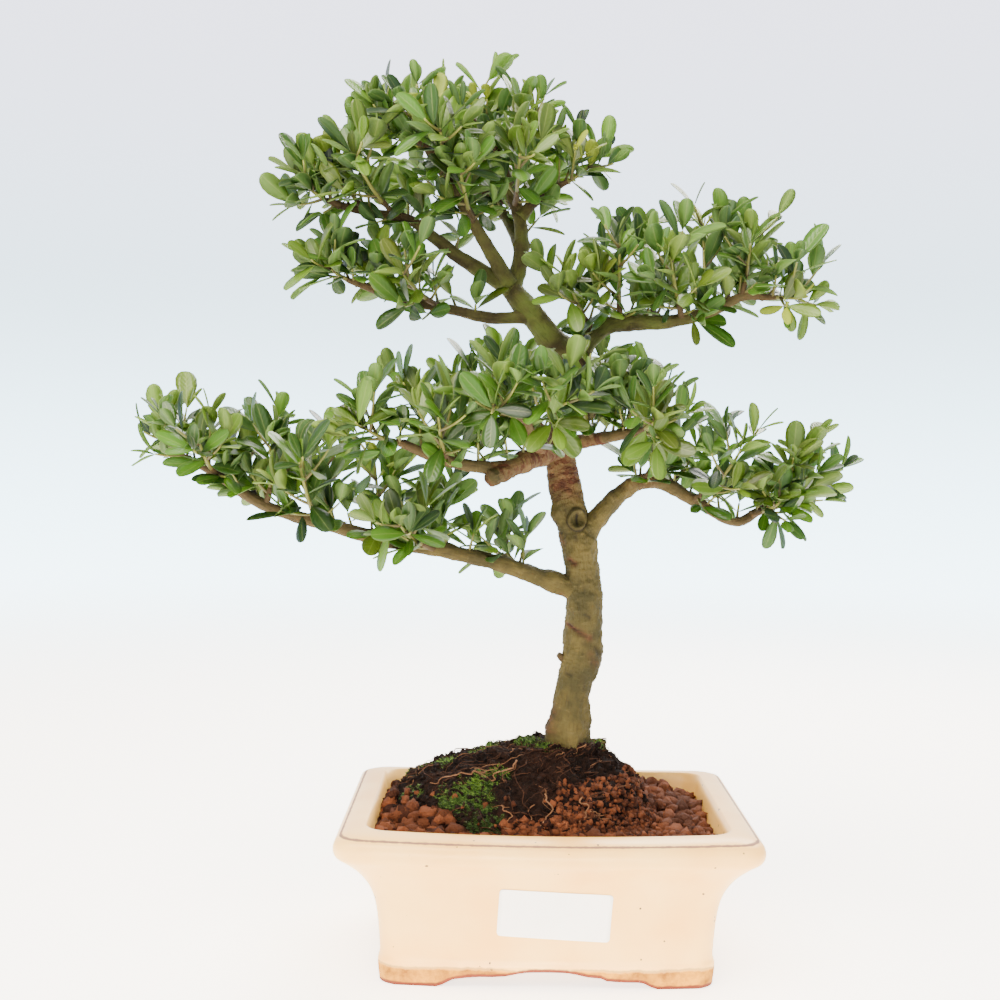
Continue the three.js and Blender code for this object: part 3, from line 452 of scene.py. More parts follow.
# %% Cream glazed stoneware
glaze, tree, output = new_finish("cream_glazed_stoneware")
where = add(tree, "ShaderNodeTexCoord").outputs["Object"]
cloud = add(tree, "ShaderNodeTexNoise", {"Vector": where, "Scale": per_metre(36), "Detail": 3})
mottle = add(tree, "ShaderNodeMapRange", {0: cloud.outputs[0], 1: 0.35, 2: 0.65})
cream = add(tree, "ShaderNodeMix", {0: mottle.outputs[0], 6: linear("#f1b65a"), 7: linear("#f7c670")},
            data_type="RGBA")
speck_cells = add(tree, "ShaderNodeTexVoronoi", {"Vector": where, "Scale": per_metre(3.85)})
speck_rare = add(tree, "ShaderNodeTexNoise", {"Vector": where, "Scale": per_metre(6.2), "Detail": 1})
speck_size = add(tree, "ShaderNodeMapRange", {0: speck_rare.outputs[0], 1: 0.6, 2: 0.75, 3: 0.0, 4: 0.26})
speck = add(tree, "ShaderNodeMath", {0: speck_cells.outputs["Distance"], 1: speck_size.outputs[0]},
            operation="LESS_THAN")
specked = add(tree, "ShaderNodeMix", {0: speck.outputs[0], 6: cream.outputs[2], 7: linear("#4a3020")},
              data_type="RGBA")

# %% [markdown]
# The glaze stops short of the feet in a stained, ochre band with a grey upper edge, and the lowest edge shows
# the bare red clay. The band follows the height above the table, so Object coordinates carry it, and a noise
# moves its edge up and down by up to 4 mm. The clay follows the arched edge, so each point of the pot knows
# how many millimetres above that edge it lies.

# %% Ochre band and bare clay
BAND_TOP, BAND_MIDDLE, BAND_FULL = 11.5 * MM, 10.7 * MM, 9.5 * MM
height = add(tree, "ShaderNodeSeparateXYZ", {0: where}).outputs["Z"]
edge_wave = add(tree, "ShaderNodeTexNoise",
                {"Vector": where, "Scale": per_metre(11.1), "Detail": 4, "Roughness": 0.65})
edge_height = add(tree, "ShaderNodeMath", {0: edge_wave.outputs[0], 1: 4 * MM, 2: height},
                  operation="MULTIPLY_ADD")
band = add(tree, "ShaderNodeMapRange", {0: edge_height.outputs[0], 1: BAND_TOP, 2: BAND_FULL})
stain = add(tree, "ShaderNodeTexNoise",
            {"Vector": where, "Scale": per_metre(9), "Detail": 5, "Roughness": 0.7})
stain_share = add(tree, "ShaderNodeMapRange", {0: stain.outputs[0], 1: 0.35, 2: 0.68})
ochre = add(tree, "ShaderNodeMix", {0: stain_share.outputs[0], 6: linear("#ca8c10"), 7: linear("#6f4204")},
            data_type="RGBA")
banded = add(tree, "ShaderNodeMix", {0: band.outputs[0], 6: specked.outputs[2], 7: ochre.outputs[2]},
             data_type="RGBA")
band_middle = add(tree, "ShaderNodeMath", {0: edge_height.outputs[0], 1: BAND_MIDDLE}, operation="SUBTRACT")
band_away = add(tree, "ShaderNodeMath", {0: band_middle.outputs[0]}, operation="ABSOLUTE")
band_line = add(tree, "ShaderNodeMapRange", {0: band_away.outputs[0], 1: 0.6 * MM, 2: 0.0, 3: 0.0, 4: 0.5})
outlined = add(tree, "ShaderNodeMix", {0: band_line.outputs[0], 6: banded.outputs[2], 7: linear("#76684f")},
               data_type="RGBA")
above_edge = add(tree, "ShaderNodeAttribute", attribute_name="above_edge").outputs["Fac"]
clay_sum = add(tree, "ShaderNodeMath", {0: edge_wave.outputs[0], 1: 2.5, 2: above_edge},
               operation="MULTIPLY_ADD")
clay = add(tree, "ShaderNodeMapRange", {0: clay_sum.outputs[0], 1: 3.0, 2: 2.4})
footed = add(tree, "ShaderNodeMix", {0: clay.outputs[0], 6: outlined.outputs[2], 7: linear("#6a2c16")},
             data_type="RGBA")

# %% [markdown]
# On the rim's outer edge the glaze thins and wears to a purplish brown, in patches of 4 mm and smaller. Worn
# glaze and bare clay are dull, so one mask turns both the colour and the roughness. The whole coat ripples a
# little, every 7 mm.

# %% Worn rim and gloss
wear_place = add(tree, "ShaderNodeAttribute", attribute_name="rim").outputs["Fac"]
wear_noise = add(tree, "ShaderNodeTexNoise",
                 {"Vector": where, "Scale": per_metre(3.85), "Detail": 5, "Roughness": 0.7})
wear_sum = add(tree, "ShaderNodeMath", {0: wear_place, 1: wear_noise.outputs[0]}, operation="ADD")
wear = add(tree, "ShaderNodeMapRange", {0: wear_sum.outputs[0], 1: 0.9, 2: 1.2, 3: 0.0, 4: 0.85})
worn = add(tree, "ShaderNodeMix", {0: wear.outputs[0], 6: footed.outputs[2], 7: linear("#5d4046")},
           data_type="RGBA")
unglazed = add(tree, "ShaderNodeMath", {0: band.outputs[0], 1: wear.outputs[0]}, operation="MAXIMUM")
gloss = add(tree, "ShaderNodeMapRange", {0: unglazed.outputs[0], 3: 0.3, 4: 0.75})
ripple = add(tree, "ShaderNodeTexNoise", {"Vector": where, "Scale": per_metre(7.1), "Detail": 2})
dimple = add(tree, "ShaderNodeBump", {"Height": ripple.outputs[0], "Strength": 0.12, "Distance": 0.6 * MM})
stoneware = add(tree, "ShaderNodeBsdfPrincipled",
                {"Base Color": worn.outputs[2], "Roughness": gloss.outputs[0], "IOR": 1.5,
                 "Specular IOR Level": 0.28, "Normal": dimple.outputs[0]})
tree.links.new(stoneware.outputs[0], output.inputs["Surface"])

# %% [markdown]
# ## The pot and its drain holes
#
# The holes in the floor are drilled before glazing. In the mesh they are cut with a Boolean modifier, which
# is simpler than threading the grid round them, and it is applied at once so that the drills can be deleted.

# %% Pot
WEAR_BY_RING = (1, 0.42, 0)
rim_ring = len(foot_rings) + len(profile) - 1
rings_from_rim = np.abs(np.arange(ring_count) - rim_ring)
edge_share = np.repeat(np.interp(rings_from_rim, range(len(WEAR_BY_RING)), WEAR_BY_RING), COLUMNS)
above_lift = pot_points[:, 2] - np.tile(lift, ring_count)
above_lift[:COLUMNS] = FLOOR_UNDER
pot_faces = [grid_faces(ring_count, COLUMNS), *grid_caps(ring_count, COLUMNS)]
pot = make_piece("pot_glazed", pot_points, [pot_faces], [glaze], ["pot"],
                 {"rim": edge_share, "above_edge": above_lift})

# %% Drain holes
DRAIN = {"x": 38.0, "radius": 8.0, "sides": 40, "from": 2.0, "to": 20.0}
for x in (-DRAIN["x"], DRAIN["x"]):
    turns = 2 * np.pi * np.arange(DRAIN["sides"]) / DRAIN["sides"]
    circle = np.stack([x + DRAIN["radius"] * np.cos(turns), DRAIN["radius"] * np.sin(turns)], -1)
    ends = [np.column_stack([circle, np.full(len(circle), DRAIN[end])]) for end in ("from", "to")]
    drill_faces = [grid_faces(2, len(circle)), *grid_caps(2, len(circle))]
    drill_faces = [face for group in drill_faces for face in group.tolist()]
    drill_mesh = bpy.data.meshes.new("drill")
    drill_mesh.from_pydata(np.vstack(ends) * MM + FOOT, [], drill_faces)
    drill = bpy.data.objects.new("drill", drill_mesh)
    bpy.context.scene.collection.objects.link(drill)
    cut = pot.modifiers.new("drain", "BOOLEAN")
    cut.object = drill
    cut.operation = "DIFFERENCE"
    graph = bpy.context.evaluated_depsgraph_get()
    drilled = bpy.data.meshes.new_from_object(pot.evaluated_get(graph), depsgraph=graph)
    pot.modifiers.clear()
    pot.data = drilled
    bpy.data.objects.remove(drill)
print("pot: faces", len(pot.data.polygons))

# %% [markdown]
# ## The sticker
#
# A plain white paper sticker sits on the front wall, a little crooked, and bends with the wall. It is a thin
# closed sheet: a grid whose rows get shorter near the top and bottom so that its corners are round, pushed
# out from the wall by less than half a millimetre. Nothing is printed on it. The paper is matt, with fibres
# about a millimetre apart and faint creases every 14 mm. Its colour is a little darker where the creases sink
# and lighter where they rise, as painted shade and light.

# %% Paper sticker
paper, tree, output = new_finish("white_sticker_paper")
where = add(tree, "ShaderNodeTexCoord").outputs["Object"]
fibre = add(tree, "ShaderNodeTexNoise", {"Vector": where, "Scale": per_metre(1.11), "Detail": 4})
crease = add(tree, "ShaderNodeTexNoise", {"Vector": where, "Scale": per_metre(14.3), "Detail": 2})
# Painted shade and light: darker where the creases' relief is low, lighter where it is high.
crease_shaded_paper = add(tree, "ShaderNodeMix", {0: crease.outputs[0], 6: linear("#efeeea"), 7: linear("#fbfbf8")},
           data_type="RGBA")
relief = add(tree, "ShaderNodeMath", {0: fibre.outputs[0], 1: 0.15, 2: crease.outputs[0]},
             operation="MULTIPLY_ADD")
paper_bump = add(tree, "ShaderNodeBump",
                 {"Height": relief.outputs[0], "Strength": 0.25, "Distance": 0.6 * MM})
sheet = add(tree, "ShaderNodeBsdfPrincipled",
            {"Base Color": crease_shaded_paper.outputs[2], "Roughness": 0.55, "Normal": paper_bump.outputs[0]})
tree.links.new(sheet.outputs[0], output.inputs["Surface"])

# %% Sticker shape
LABEL = {"x": 3.0, "z": 34.0, "width": 50.0, "height": 22.5, "tilt": math.radians(-3), "corner": 1.6}
LABEL_ROWS, LABEL_COLUMNS = 19, 27
LABEL_FRONT, LABEL_BACK = 0.42, 0.12
WALL_HEIGHTS, WALL_OFFSETS = profile[:, 0], profile[:, 1]


def wall_front(x, z):
    """The y of the pot's front wall at a place: the foot's depth, the profile's offset and the bulge."""
    offset = np.interp(z, WALL_HEIGHTS, WALL_OFFSETS)
    return -(FOOT_HALF[1] + offset + POT_BOW * (1 - (x / (FOOT_HALF[0] + offset)) ** 2))


def label_sheet(lift):
    """The sticker's points at a height above the wall: across and up the sheet, turned by its tilt. A row is
    shorter than the sheet by a quarter circle's inset where it runs past a corner's start."""
    v = np.sin(np.linspace(-np.pi / 2, np.pi / 2, LABEL_ROWS))[:, None] * LABEL["height"] / 2
    u = np.linspace(-1, 1, LABEL_COLUMNS)[None, :]
    past = np.clip(np.abs(v) - (LABEL["height"] / 2 - LABEL["corner"]), 0, LABEL["corner"])
    inset = LABEL["corner"] - np.sqrt(LABEL["corner"] ** 2 - past ** 2)
    across = u * (LABEL["width"] / 2 - inset)
    x = LABEL["x"] + across * math.cos(LABEL["tilt"]) - v * math.sin(LABEL["tilt"])
    z = LABEL["z"] + across * math.sin(LABEL["tilt"]) + v * math.cos(LABEL["tilt"])
    return np.stack([x, wall_front(x, z) - lift, z], -1)


label_points = np.vstack([label_sheet(LABEL_FRONT).reshape(-1, 3), label_sheet(LABEL_BACK).reshape(-1, 3)])
label_grid = np.arange(LABEL_ROWS * LABEL_COLUMNS).reshape(LABEL_ROWS, LABEL_COLUMNS)
front_faces = grid_faces(LABEL_ROWS, LABEL_COLUMNS, wrap=False)
back_faces = front_faces[:, ::-1] + label_grid.size
border = np.concatenate([label_grid[0], label_grid[1:, -1], label_grid[-1, -2::-1], label_grid[-2:0:-1, 0]])
after = np.roll(border, -1)
edge_faces = np.stack([after, border, border + label_grid.size, after + label_grid.size], -1)
make_piece("sticker_blank", label_points, [[front_faces, back_faces, edge_faces]], [paper],
           ["label"])
print("sticker: points", len(label_points))

# %% [markdown]
# ## The drain net
#
# A net of moulded black plastic keeps the soil in over the drain holes. Only its underside shows, through the
# holes, so the CAD sheet stays and its mesh of strands, 2.5 mm apart, is drawn by the finish. The openings
# between the strands are painted nearly black, as painted shade seen through them.

# %% Plastic net
net, tree, output = new_finish("black_moulded_plastic_net")
where = add(tree, "ShaderNodeTexCoord").outputs["Object"]
strands = add(tree, "ShaderNodeTexVoronoi", {"Vector": where, "Scale": per_metre(2.5), "Randomness": 0.0},
              distance="CHEBYCHEV")
# Painted shade: the openings of the net are coloured nearly black, as the dark seen through them.
hole_shade = add(tree, "ShaderNodeMath", {0: strands.outputs["Distance"], 1: 0.33}, operation="LESS_THAN")
net_and_hole_shade = add(tree, "ShaderNodeMix", {0: hole_shade.outputs[0], 6: linear("#2a2a2a"), 7: linear("#0b0908")},
                 data_type="RGBA")
plastic = add(tree, "ShaderNodeBsdfPrincipled", {"Base Color": net_and_hole_shade.outputs[2], "Roughness": 0.5})
tree.links.new(plastic.outputs[0], output.inputs["Surface"])
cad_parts["drain_screen"].data.materials.clear()
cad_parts["drain_screen"].data.materials.append(net)

# %% [markdown]
# ## Soil: the akadama bed
#
# The pot is filled with akadama, a baked clay that is sold as rough red-brown granules: coarse ones at the
# left and round the edge, finer ones in the front. One could scatter them with a particle system, but the
# same result comes from arrays: a jittered grid of places, one rough little stone of two dozen faces, and a
# random turn and size for each copy. A bumpy sheet closes the gaps between them, coloured darker than the
# granules as painted shade in those gaps. The clay is dull and full of pores, drawn 1.4 mm apart, and dust
# from the sack has settled on the right side and pales it.

# %% Akadama finish
akadama, tree, output = new_finish("baked_clay_granules")
where = add(tree, "ShaderNodeTexCoord").outputs["Object"]
tint = add(tree, "ShaderNodeAttribute", attribute_name="tint").outputs["Fac"]
grain = add(tree, "ShaderNodeTexNoise",
            {"Vector": where, "Scale": per_metre(1.43), "Detail": 4, "Roughness": 0.65})
red = add(tree, "ShaderNodeMix", {0: tint, 6: linear("#1f0d07"), 7: linear("#6d3d24")}, data_type="RGBA")
side = add(tree, "ShaderNodeSeparateXYZ", {0: where}).outputs["X"]
dust_place = add(tree, "ShaderNodeMapRange", {0: side, 1: 30 * MM, 2: 85 * MM, 3: 0.15, 4: 0.6})
dust_grain = add(tree, "ShaderNodeMapRange", {0: grain.outputs[0], 1: 0.3, 2: 0.7})
dust = add(tree, "ShaderNodeMath", {0: dust_place.outputs[0], 1: dust_grain.outputs[0]}, operation="MULTIPLY")
dusty = add(tree, "ShaderNodeMix", {0: dust.outputs[0], 6: red.outputs[2], 7: linear("#573b2f")},
            data_type="RGBA")
pores = add(tree, "ShaderNodeBump", {"Height": grain.outputs[0], "Strength": 1.0, "Distance": 1.4 * MM})
clay_body = add(tree, "ShaderNodeBsdfPrincipled",
                {"Base Color": dusty.outputs[2], "Roughness": 0.95, "Specular IOR Level": 0.12,
                 "Normal": pores.outputs[0]})
tree.links.new(clay_body.outputs[0], output.inputs["Surface"])

# %% The bed's height
BED_LEFT, BED_RIGHT, BACK_HEAP = 66.0, 62.5, 5.0
HEAP_LEFT, HEAP_LEFT_SLOPE = 10.0, 20.0
HEAP_RIGHT, HEAP_RIGHT_SLOPE = 68.0, 12.0
HEAP_FRONT, HEAP_FRONT_SLOPE = -15.0, 30.0


def bed_height(x, y):
    """The height of the granules: level on the left, falling towards the right, and heaped at the back right,
    where the heap is the product of three ramps that run from 0 to 1."""
    fall = (BED_RIGHT - BED_LEFT) * np.maximum(x, 0) / FOOT_HALF[0]
    heap = np.clip((x - HEAP_LEFT) / HEAP_LEFT_SLOPE, 0, 1)
    heap = heap * np.clip((HEAP_RIGHT - x) / HEAP_RIGHT_SLOPE, 0, 1)
    heap = heap * np.clip((y - HEAP_FRONT) / HEAP_FRONT_SLOPE, 0, 1)
    return BED_LEFT + fall + BACK_HEAP * heap


# %% The sheet under the granules
SHEET_EDGE = {"offset": 4.4, "height": 64.0}
SHEET_FOOT = {"offset": 1.4, "height": 50.0}
SHEET_CENTRE = np.array([-8.0, 2.0, 64.0])
SHEET_SINK, SHEET_LUMPS = 3.2, 1.2
shares = np.linspace(0.35, 1, 26)[::-1]
bed_rows = SHEET_CENTRE + shares[:, None, None] * (pot_ring(**SHEET_EDGE) - SHEET_CENTRE)
bed_rows[..., 2] = (bed_height(bed_rows[..., 0], bed_rows[..., 1]) - SHEET_SINK
                    + SHEET_LUMPS * lumps(bed_rows, 9, 3))
bed_points = np.vstack([pot_ring(**SHEET_FOOT), bed_rows.reshape(-1, 3)])
bed_faces = [grid_faces(len(shares) + 1, COLUMNS), *grid_caps(len(shares) + 1, COLUMNS)]
# The sheet's tint stays near the dark end of the clay's colours: painted shade in the gaps between granules.
make_piece("akadama_sheet_painted_shade", bed_points, [bed_faces], [akadama], ["akadama_bed"],
           {"tint": 0.1 + 0.1 * lumps(bed_points, 5, 4)})
print("sheet: points", len(bed_points))

# %% [markdown]
# ## One little stone, copied many times
#
# The stone starts as a cube whose sides are cut in four, is blown up towards a ball, and gets its corners
# pushed in and out at random. A copy is the stone stretched, turned and moved: one matrix product does it for
# all copies at once.

# %% The little stone
STEPS = (-1, 0, 1)
cube = np.array([(x, y, z) for x in STEPS for y in STEPS for z in STEPS if (x, y, z) != (0, 0, 0)])
cube_names = {tuple(corner): i for i, corner in enumerate(cube.tolist())}
stone_faces = []
for axis in range(3):
    for sign in (-1, 1):
        for a, b in [(-1, -1), (-1, 0), (0, -1), (0, 0)]:
            quad = []
            for u, v in [(a, b), (a + 1, b), (a + 1, b + 1), (a, b + 1)][::sign]:
                corner = [0, 0, 0]
                corner[axis], corner[(axis + 1) % 3], corner[(axis + 2) % 3] = sign, u, v
                quad.append(cube_names[tuple(corner)])
            stone_faces.append(quad)
stone_faces = np.array(stone_faces)


def random_turns(random, count):
    """Random rotation matrices from unit quaternions."""
    w, x, y, z = unit(random.normal(size=(count, 4))).T
    return np.stack([1 - 2 * (y * y + z * z), 2 * (x * y - z * w), 2 * (x * z + y * w),
                     2 * (x * y + z * w), 1 - 2 * (x * x + z * z), 2 * (y * z - x * w),
                     2 * (x * z - y * w), 2 * (y * z + x * w), 1 - 2 * (x * x + y * y)], -1).reshape(-1, 3, 3)


def stones(places, sizes, seed, squareness=0.5):
    """Copies of the little stone: its points lie between a cube and a ball, each moved by up to a third."""
    random = np.random.default_rng(seed)
    count = len(places)
    shape = cube * squareness + unit(cube.astype(float)) * (1 - squareness)
    shape = shape * random.uniform(0.66, 1.2, (count, len(cube), 1))
    stretch = sizes[:, None] * random.uniform(0.75, 1.15, (count, 3))
    turned_shape = np.einsum("nij,nkj->nki", random_turns(random, count), shape * stretch[:, None])
    points = turned_shape + places[:, None]
    faces = stone_faces + len(cube) * np.arange(count)[:, None, None]
    tints = np.repeat(random.uniform(0, 1, count), len(cube))
    return points.reshape(-1, 3), faces.reshape(-1, 4), tints


# %% [markdown]
# The granules lie in two coarse layers and two fine ones. In front, except at its left end, coarse ones are
# rare and fine ones common. No granule is set through the pot's wall or deep in the root ball.

# %% Granules
FRONT_EDGE, FRONT_SLOPE = -10, 20
LEFT_END, LEFT_SLOPE = -50, 25
MOUTH_HALF = FOOT_HALF + 4.6
GRID_HALF = (84, 64)
BALL_OVAL = {"x": -12, "y": 2, "half_x": 64, "half_y": 49, "kept_out": 0.9}
GRANULE_LAYERS = [
    {"spacing": 6.4, "small": 2.5, "large": 4.2, "sink": 1.2, "seed": 11, "chance": 1, "in_front": 0.15},
    {"spacing": 6.4, "small": 2.4, "large": 4.0, "sink": 3.6, "seed": 12, "chance": 1, "in_front": 0.15},
    {"spacing": 3.0, "small": 0.9, "large": 2.0, "sink": 0.8, "seed": 13, "chance": 0.3, "in_front": 1},
    {"spacing": 3.0, "small": 1.0, "large": 2.1, "sink": 2.2, "seed": 14, "chance": 0.3, "in_front": 1},
]
no_triangles = np.zeros((0, 3), int)


def inside_pot(x, y, margin):
    """Whether a place lies inside a rounded rectangle that is the pot's mouth less a margin."""
    half = MOUTH_HALF - margin
    bulge = POT_BOW * (1 - (x / MOUTH_HALF[0]) ** 2)
    past = np.stack([np.abs(x) - half[0] + CORNER_RADIUS, np.abs(y) - half[1] - bulge + CORNER_RADIUS], -1)
    return np.linalg.norm(np.maximum(past, 0), axis=-1) + np.minimum(past.max(-1), 0) < CORNER_RADIUS


def scatter(spacing, margin, random):
    """Places on a jittered grid, inside the pot and outside the root ball."""
    x, y = np.meshgrid(*(np.arange(-half, half, spacing) for half in GRID_HALF))
    x = (x + random.uniform(-0.45, 0.45, x.shape) * spacing).ravel()
    y = (y + random.uniform(-0.45, 0.45, y.shape) * spacing).ravel()
    across, deep = (x - BALL_OVAL["x"]) / BALL_OVAL["half_x"], (y - BALL_OVAL["y"]) / BALL_OVAL["half_y"]
    keep = inside_pot(x, y, margin) & (across ** 2 + deep ** 2 > BALL_OVAL["kept_out"])
    return x[keep], y[keep]


granule_parts = Parts()
for layer in GRANULE_LAYERS:
    random = np.random.default_rng(layer["seed"])
    x, y = scatter(layer["spacing"], layer["large"], random)
    front = np.clip((FRONT_EDGE - y) / FRONT_SLOPE, 0, 1) * np.clip((x - LEFT_END) / LEFT_SLOPE, 0, 1)
    keep = random.uniform(0, 1, len(x)) < layer["chance"] + (layer["in_front"] - layer["chance"]) * front
    x, y = x[keep], y[keep]
    size = random.uniform(layer["small"], layer["large"], len(x))
    z = bed_height(x, y) - layer["sink"] + random.uniform(-0.8, 0.8, len(x))
    points, faces, tints = stones(np.stack([x, y, z], -1), size, layer["seed"])
    granule_parts.add(points, faces, no_triangles, tint=tints)
points, faces, values = granule_parts.result()
make_piece("akadama_granules", points, [faces], [akadama], attributes=values)
print("granules:", len(points) // len(cube))

# %% [markdown]
# ## Soil: the root ball
#
# The tree still stands in the dark peat that it was grown in, a crumbly mound above the pot's rim, with fine
# pale roots in it and moss on it. Its shape is a stack of ovals that shrink towards the trunk: a smooth curve
# runs through their sizes, and lumps of three sizes roughen it. Sculpting would give the same, but the
# function also tells where the surface is, so that crumbs, roots and moss can be set on it.

# %% Mound shape
BALL_RINGS = [
    (56, -12, 2, 62, 47), (64, -12, 2, 64, 49), (71, -12, 3, 60, 45), (80, -10, 4, 54, 38),
    (88, -6, 4, 41, 29), (94, 0, 3, 27, 20), (98, 10, 2, 15, 13), (99, 11, 2, 1, 1),
]
ball_table = smooth_path(BALL_RINGS, 12)
ball_levels = np.linspace(0, len(BALL_RINGS) - 1, len(ball_table))
TOP_LEVEL = len(BALL_RINGS) - 1


MOUND_LUMPS = [
    {"height": 1.8, "size": 16, "seed": 21},
    {"height": 1.2, "size": 6, "seed": 22},
    {"height": 0.8, "size": 2.6, "seed": 23},
]
BURIED_LEVEL = 0.8


def mound(angle, level, lift=0.0):
    """A point of the root ball's surface: round the oval by an angle, and up the stack by a level from 0 to
    7. Lumps of three sizes are added outwards, where the mound stands above the granules."""
    angle, level = np.broadcast_arrays(angle, level)
    height, x, y, half_x, half_y = (np.interp(level, ball_levels, ball_table[:, k]) for k in range(5))
    point = np.stack([x + half_x * np.cos(angle), y + half_y * np.sin(angle), height], -1)
    out = unit(np.stack([np.cos(angle), np.sin(angle), np.full_like(level, 0.9, dtype=float)], -1))
    rough = sum(row["height"] * lumps(point, row["size"], row["seed"]) for row in MOUND_LUMPS)
    open_air = np.clip(level - BURIED_LEVEL, 0, 1)
    return point + out * (rough * open_air + lift)[..., None]


MOSS = [
    ((-22, -22, 89), 6), ((-29, -24, 85), 8), ((-36, -27, 81), 9), ((-43, -30, 77), 9), ((-31, -33, 77), 8),
    ((-28, -43, 67), 9), ((-63, -13, 76), 6), ((0, -4, 98), 8), ((-8, 4, 96), 8), ((22, 0, 96), 6),
    ((-48, 6, 84), 8), ((-62, 12, 74), 10), ((-28, 10, 92), 9), ((32, 24, 80), 14), ((-35, 34, 78), 17),
]


def moss_cover(points):
    """How mossy a place is: one at the middle of a patch, falling off like a bell, with ragged edges."""
    cover = np.max([np.exp(-(np.linalg.norm(points - np.array(at, float), axis=-1) / reach) ** 2)
                    for at, reach in MOSS], axis=0)
    return np.clip(cover * 1.5 - 0.45 + 0.35 * lumps(points, 7, 31), 0, 1)


# %% [markdown]
# Moist peat is nearly black and quite dull. Its crumbs are 2 mm wide and smaller, and some patches of 17 mm
# are warmer. Where moss grows, the peat under it is tinted green.

# %% Peat finish
peat, tree, output = new_finish("moist_peat_with_moss")
where = add(tree, "ShaderNodeTexCoord").outputs["Object"]
crumb = add(tree, "ShaderNodeTexNoise",
            {"Vector": where, "Scale": per_metre(2.2), "Detail": 6, "Roughness": 0.7})
patch = add(tree, "ShaderNodeTexNoise", {"Vector": where, "Scale": per_metre(16.7), "Detail": 3})
coarse_crumb = add(tree, "ShaderNodeMapRange", {0: crumb.outputs[0], 1: 0.35, 2: 0.68})
dark = add(tree, "ShaderNodeMix", {0: coarse_crumb.outputs[0], 6: linear("#050302"), 7: linear("#22130b")},
           data_type="RGBA")
warm = add(tree, "ShaderNodeMapRange", {0: patch.outputs[0], 1: 0.5, 2: 0.75, 3: 0.0, 4: 0.6})
earthy = add(tree, "ShaderNodeMix", {0: warm.outputs[0], 6: dark.outputs[2], 7: linear("#2f1b11")},
             data_type="RGBA")
mossy = add(tree, "ShaderNodeAttribute", attribute_name="moss").outputs["Fac"]
grown = add(tree, "ShaderNodeMix", {0: mossy, 6: earthy.outputs[2], 7: linear("#233a0e")}, data_type="RGBA")
crumbly = add(tree, "ShaderNodeBump", {"Height": crumb.outputs[0], "Strength": 1.0, "Distance": 2 * MM})
peat_body = add(tree, "ShaderNodeBsdfPrincipled",
                {"Base Color": grown.outputs[2], "Roughness": 0.9, "Specular IOR Level": 0.12,
                 "Normal": crumbly.outputs[0]})
tree.links.new(peat_body.outputs[0], output.inputs["Surface"])

# %% Root ball
BALL_COLUMNS, BALL_ROWS = 260, 120
angle = 2 * np.pi * np.arange(BALL_COLUMNS)[None, :] / BALL_COLUMNS
level = np.linspace(0, TOP_LEVEL, BALL_ROWS)[:, None]
ball_points = mound(angle, level).reshape(-1, 3)
ball_faces = [grid_faces(BALL_ROWS, BALL_COLUMNS), *grid_caps(BALL_ROWS, BALL_COLUMNS)]
make_piece("root_ball_peat", ball_points, [ball_faces], [peat], ["root_ball"],
           {"moss": moss_cover(ball_points)})
print("root ball: points", len(ball_points))

# %% Peat crumbs
CRUMBS, CRUMB_TOP, CRUMB_RANGE = 2600, 6.4, 5.2
random = np.random.default_rng(41)
crumb_level = CRUMB_TOP - CRUMB_RANGE * np.sqrt(random.uniform(0, 1, CRUMBS))
crumb_places = mound(random.uniform(0, 2 * np.pi, CRUMBS), crumb_level, 0.1)
points, faces, _ = stones(crumb_places, random.uniform(0.35, 1.3, CRUMBS) ** 1.3, 42)
make_piece("peat_crumbs", points, [[faces]], [peat], attributes={"moss": np.zeros(len(points))},
           smooth=False)
print("peat crumbs:", CRUMBS)

# %% [markdown]
# Granules also lie heaped against the mound: coarse ones on its front left, fine ones in front and up its
# right side, and a few all round. Each heap is a range of angles round the mound, a range of levels and a
# range of sizes. The random numbers go on where those of the crumbs stopped.

# %% Heaps of granules on the mound
HEAP_SQUARENESS = 0.6
HEAPS = [
    {"from": 190, "to": 242, "low": 0.9, "high": 2.2, "small": 2.3, "large": 4.0, "count": 30, "lift": 1.4},
    {"from": 262, "to": 300, "low": 0.9, "high": 2.1, "small": 0.8, "large": 1.9, "count": 260, "lift": 0.4},
    {"from": 286, "to": 372, "low": 0.9, "high": 3.7, "small": 0.5, "large": 1.4, "count": 1150, "lift": 0.4},
    {"from": 0, "to": 360, "low": 1.0, "high": 3.2, "small": 0.7, "large": 1.8, "count": 130, "lift": 0.3},
]
heaps = Parts()
for number, heap in enumerate(HEAPS):
    angle = np.radians(random.uniform(heap["from"], heap["to"], heap["count"]))
    level = heap["low"] + (heap["high"] - heap["low"]) * random.uniform(0, 1, heap["count"]) ** 1.6
    size = random.uniform(heap["small"], heap["large"], heap["count"])
    points, faces, tints = stones(mound(angle, level, heap["lift"]), size, 43 + number, HEAP_SQUARENESS)
    heaps.add(points, faces, no_triangles, tint=tints)
points, faces, values = heaps.result()
make_piece("akadama_spilt", points, [faces], [akadama], attributes=values)
print("granules on the mound:", len(points) // len(cube))

# %% [markdown]
# ## Fine roots and moss
#
# Roots up to a millimetre thick lie in and over the peat, most of them brown and a few pale: each is a
# tube whose path wanders over the mound. A few pale ones hang down the front. Moss is thousands of tiny
# leaves. Each is drawn as a three-sided spike up to 2.3 mm tall, coarser than the real ones, which
# would be too fine to see. A displaced green lump would look like felt; separate spikes catch the light as
# moss does.

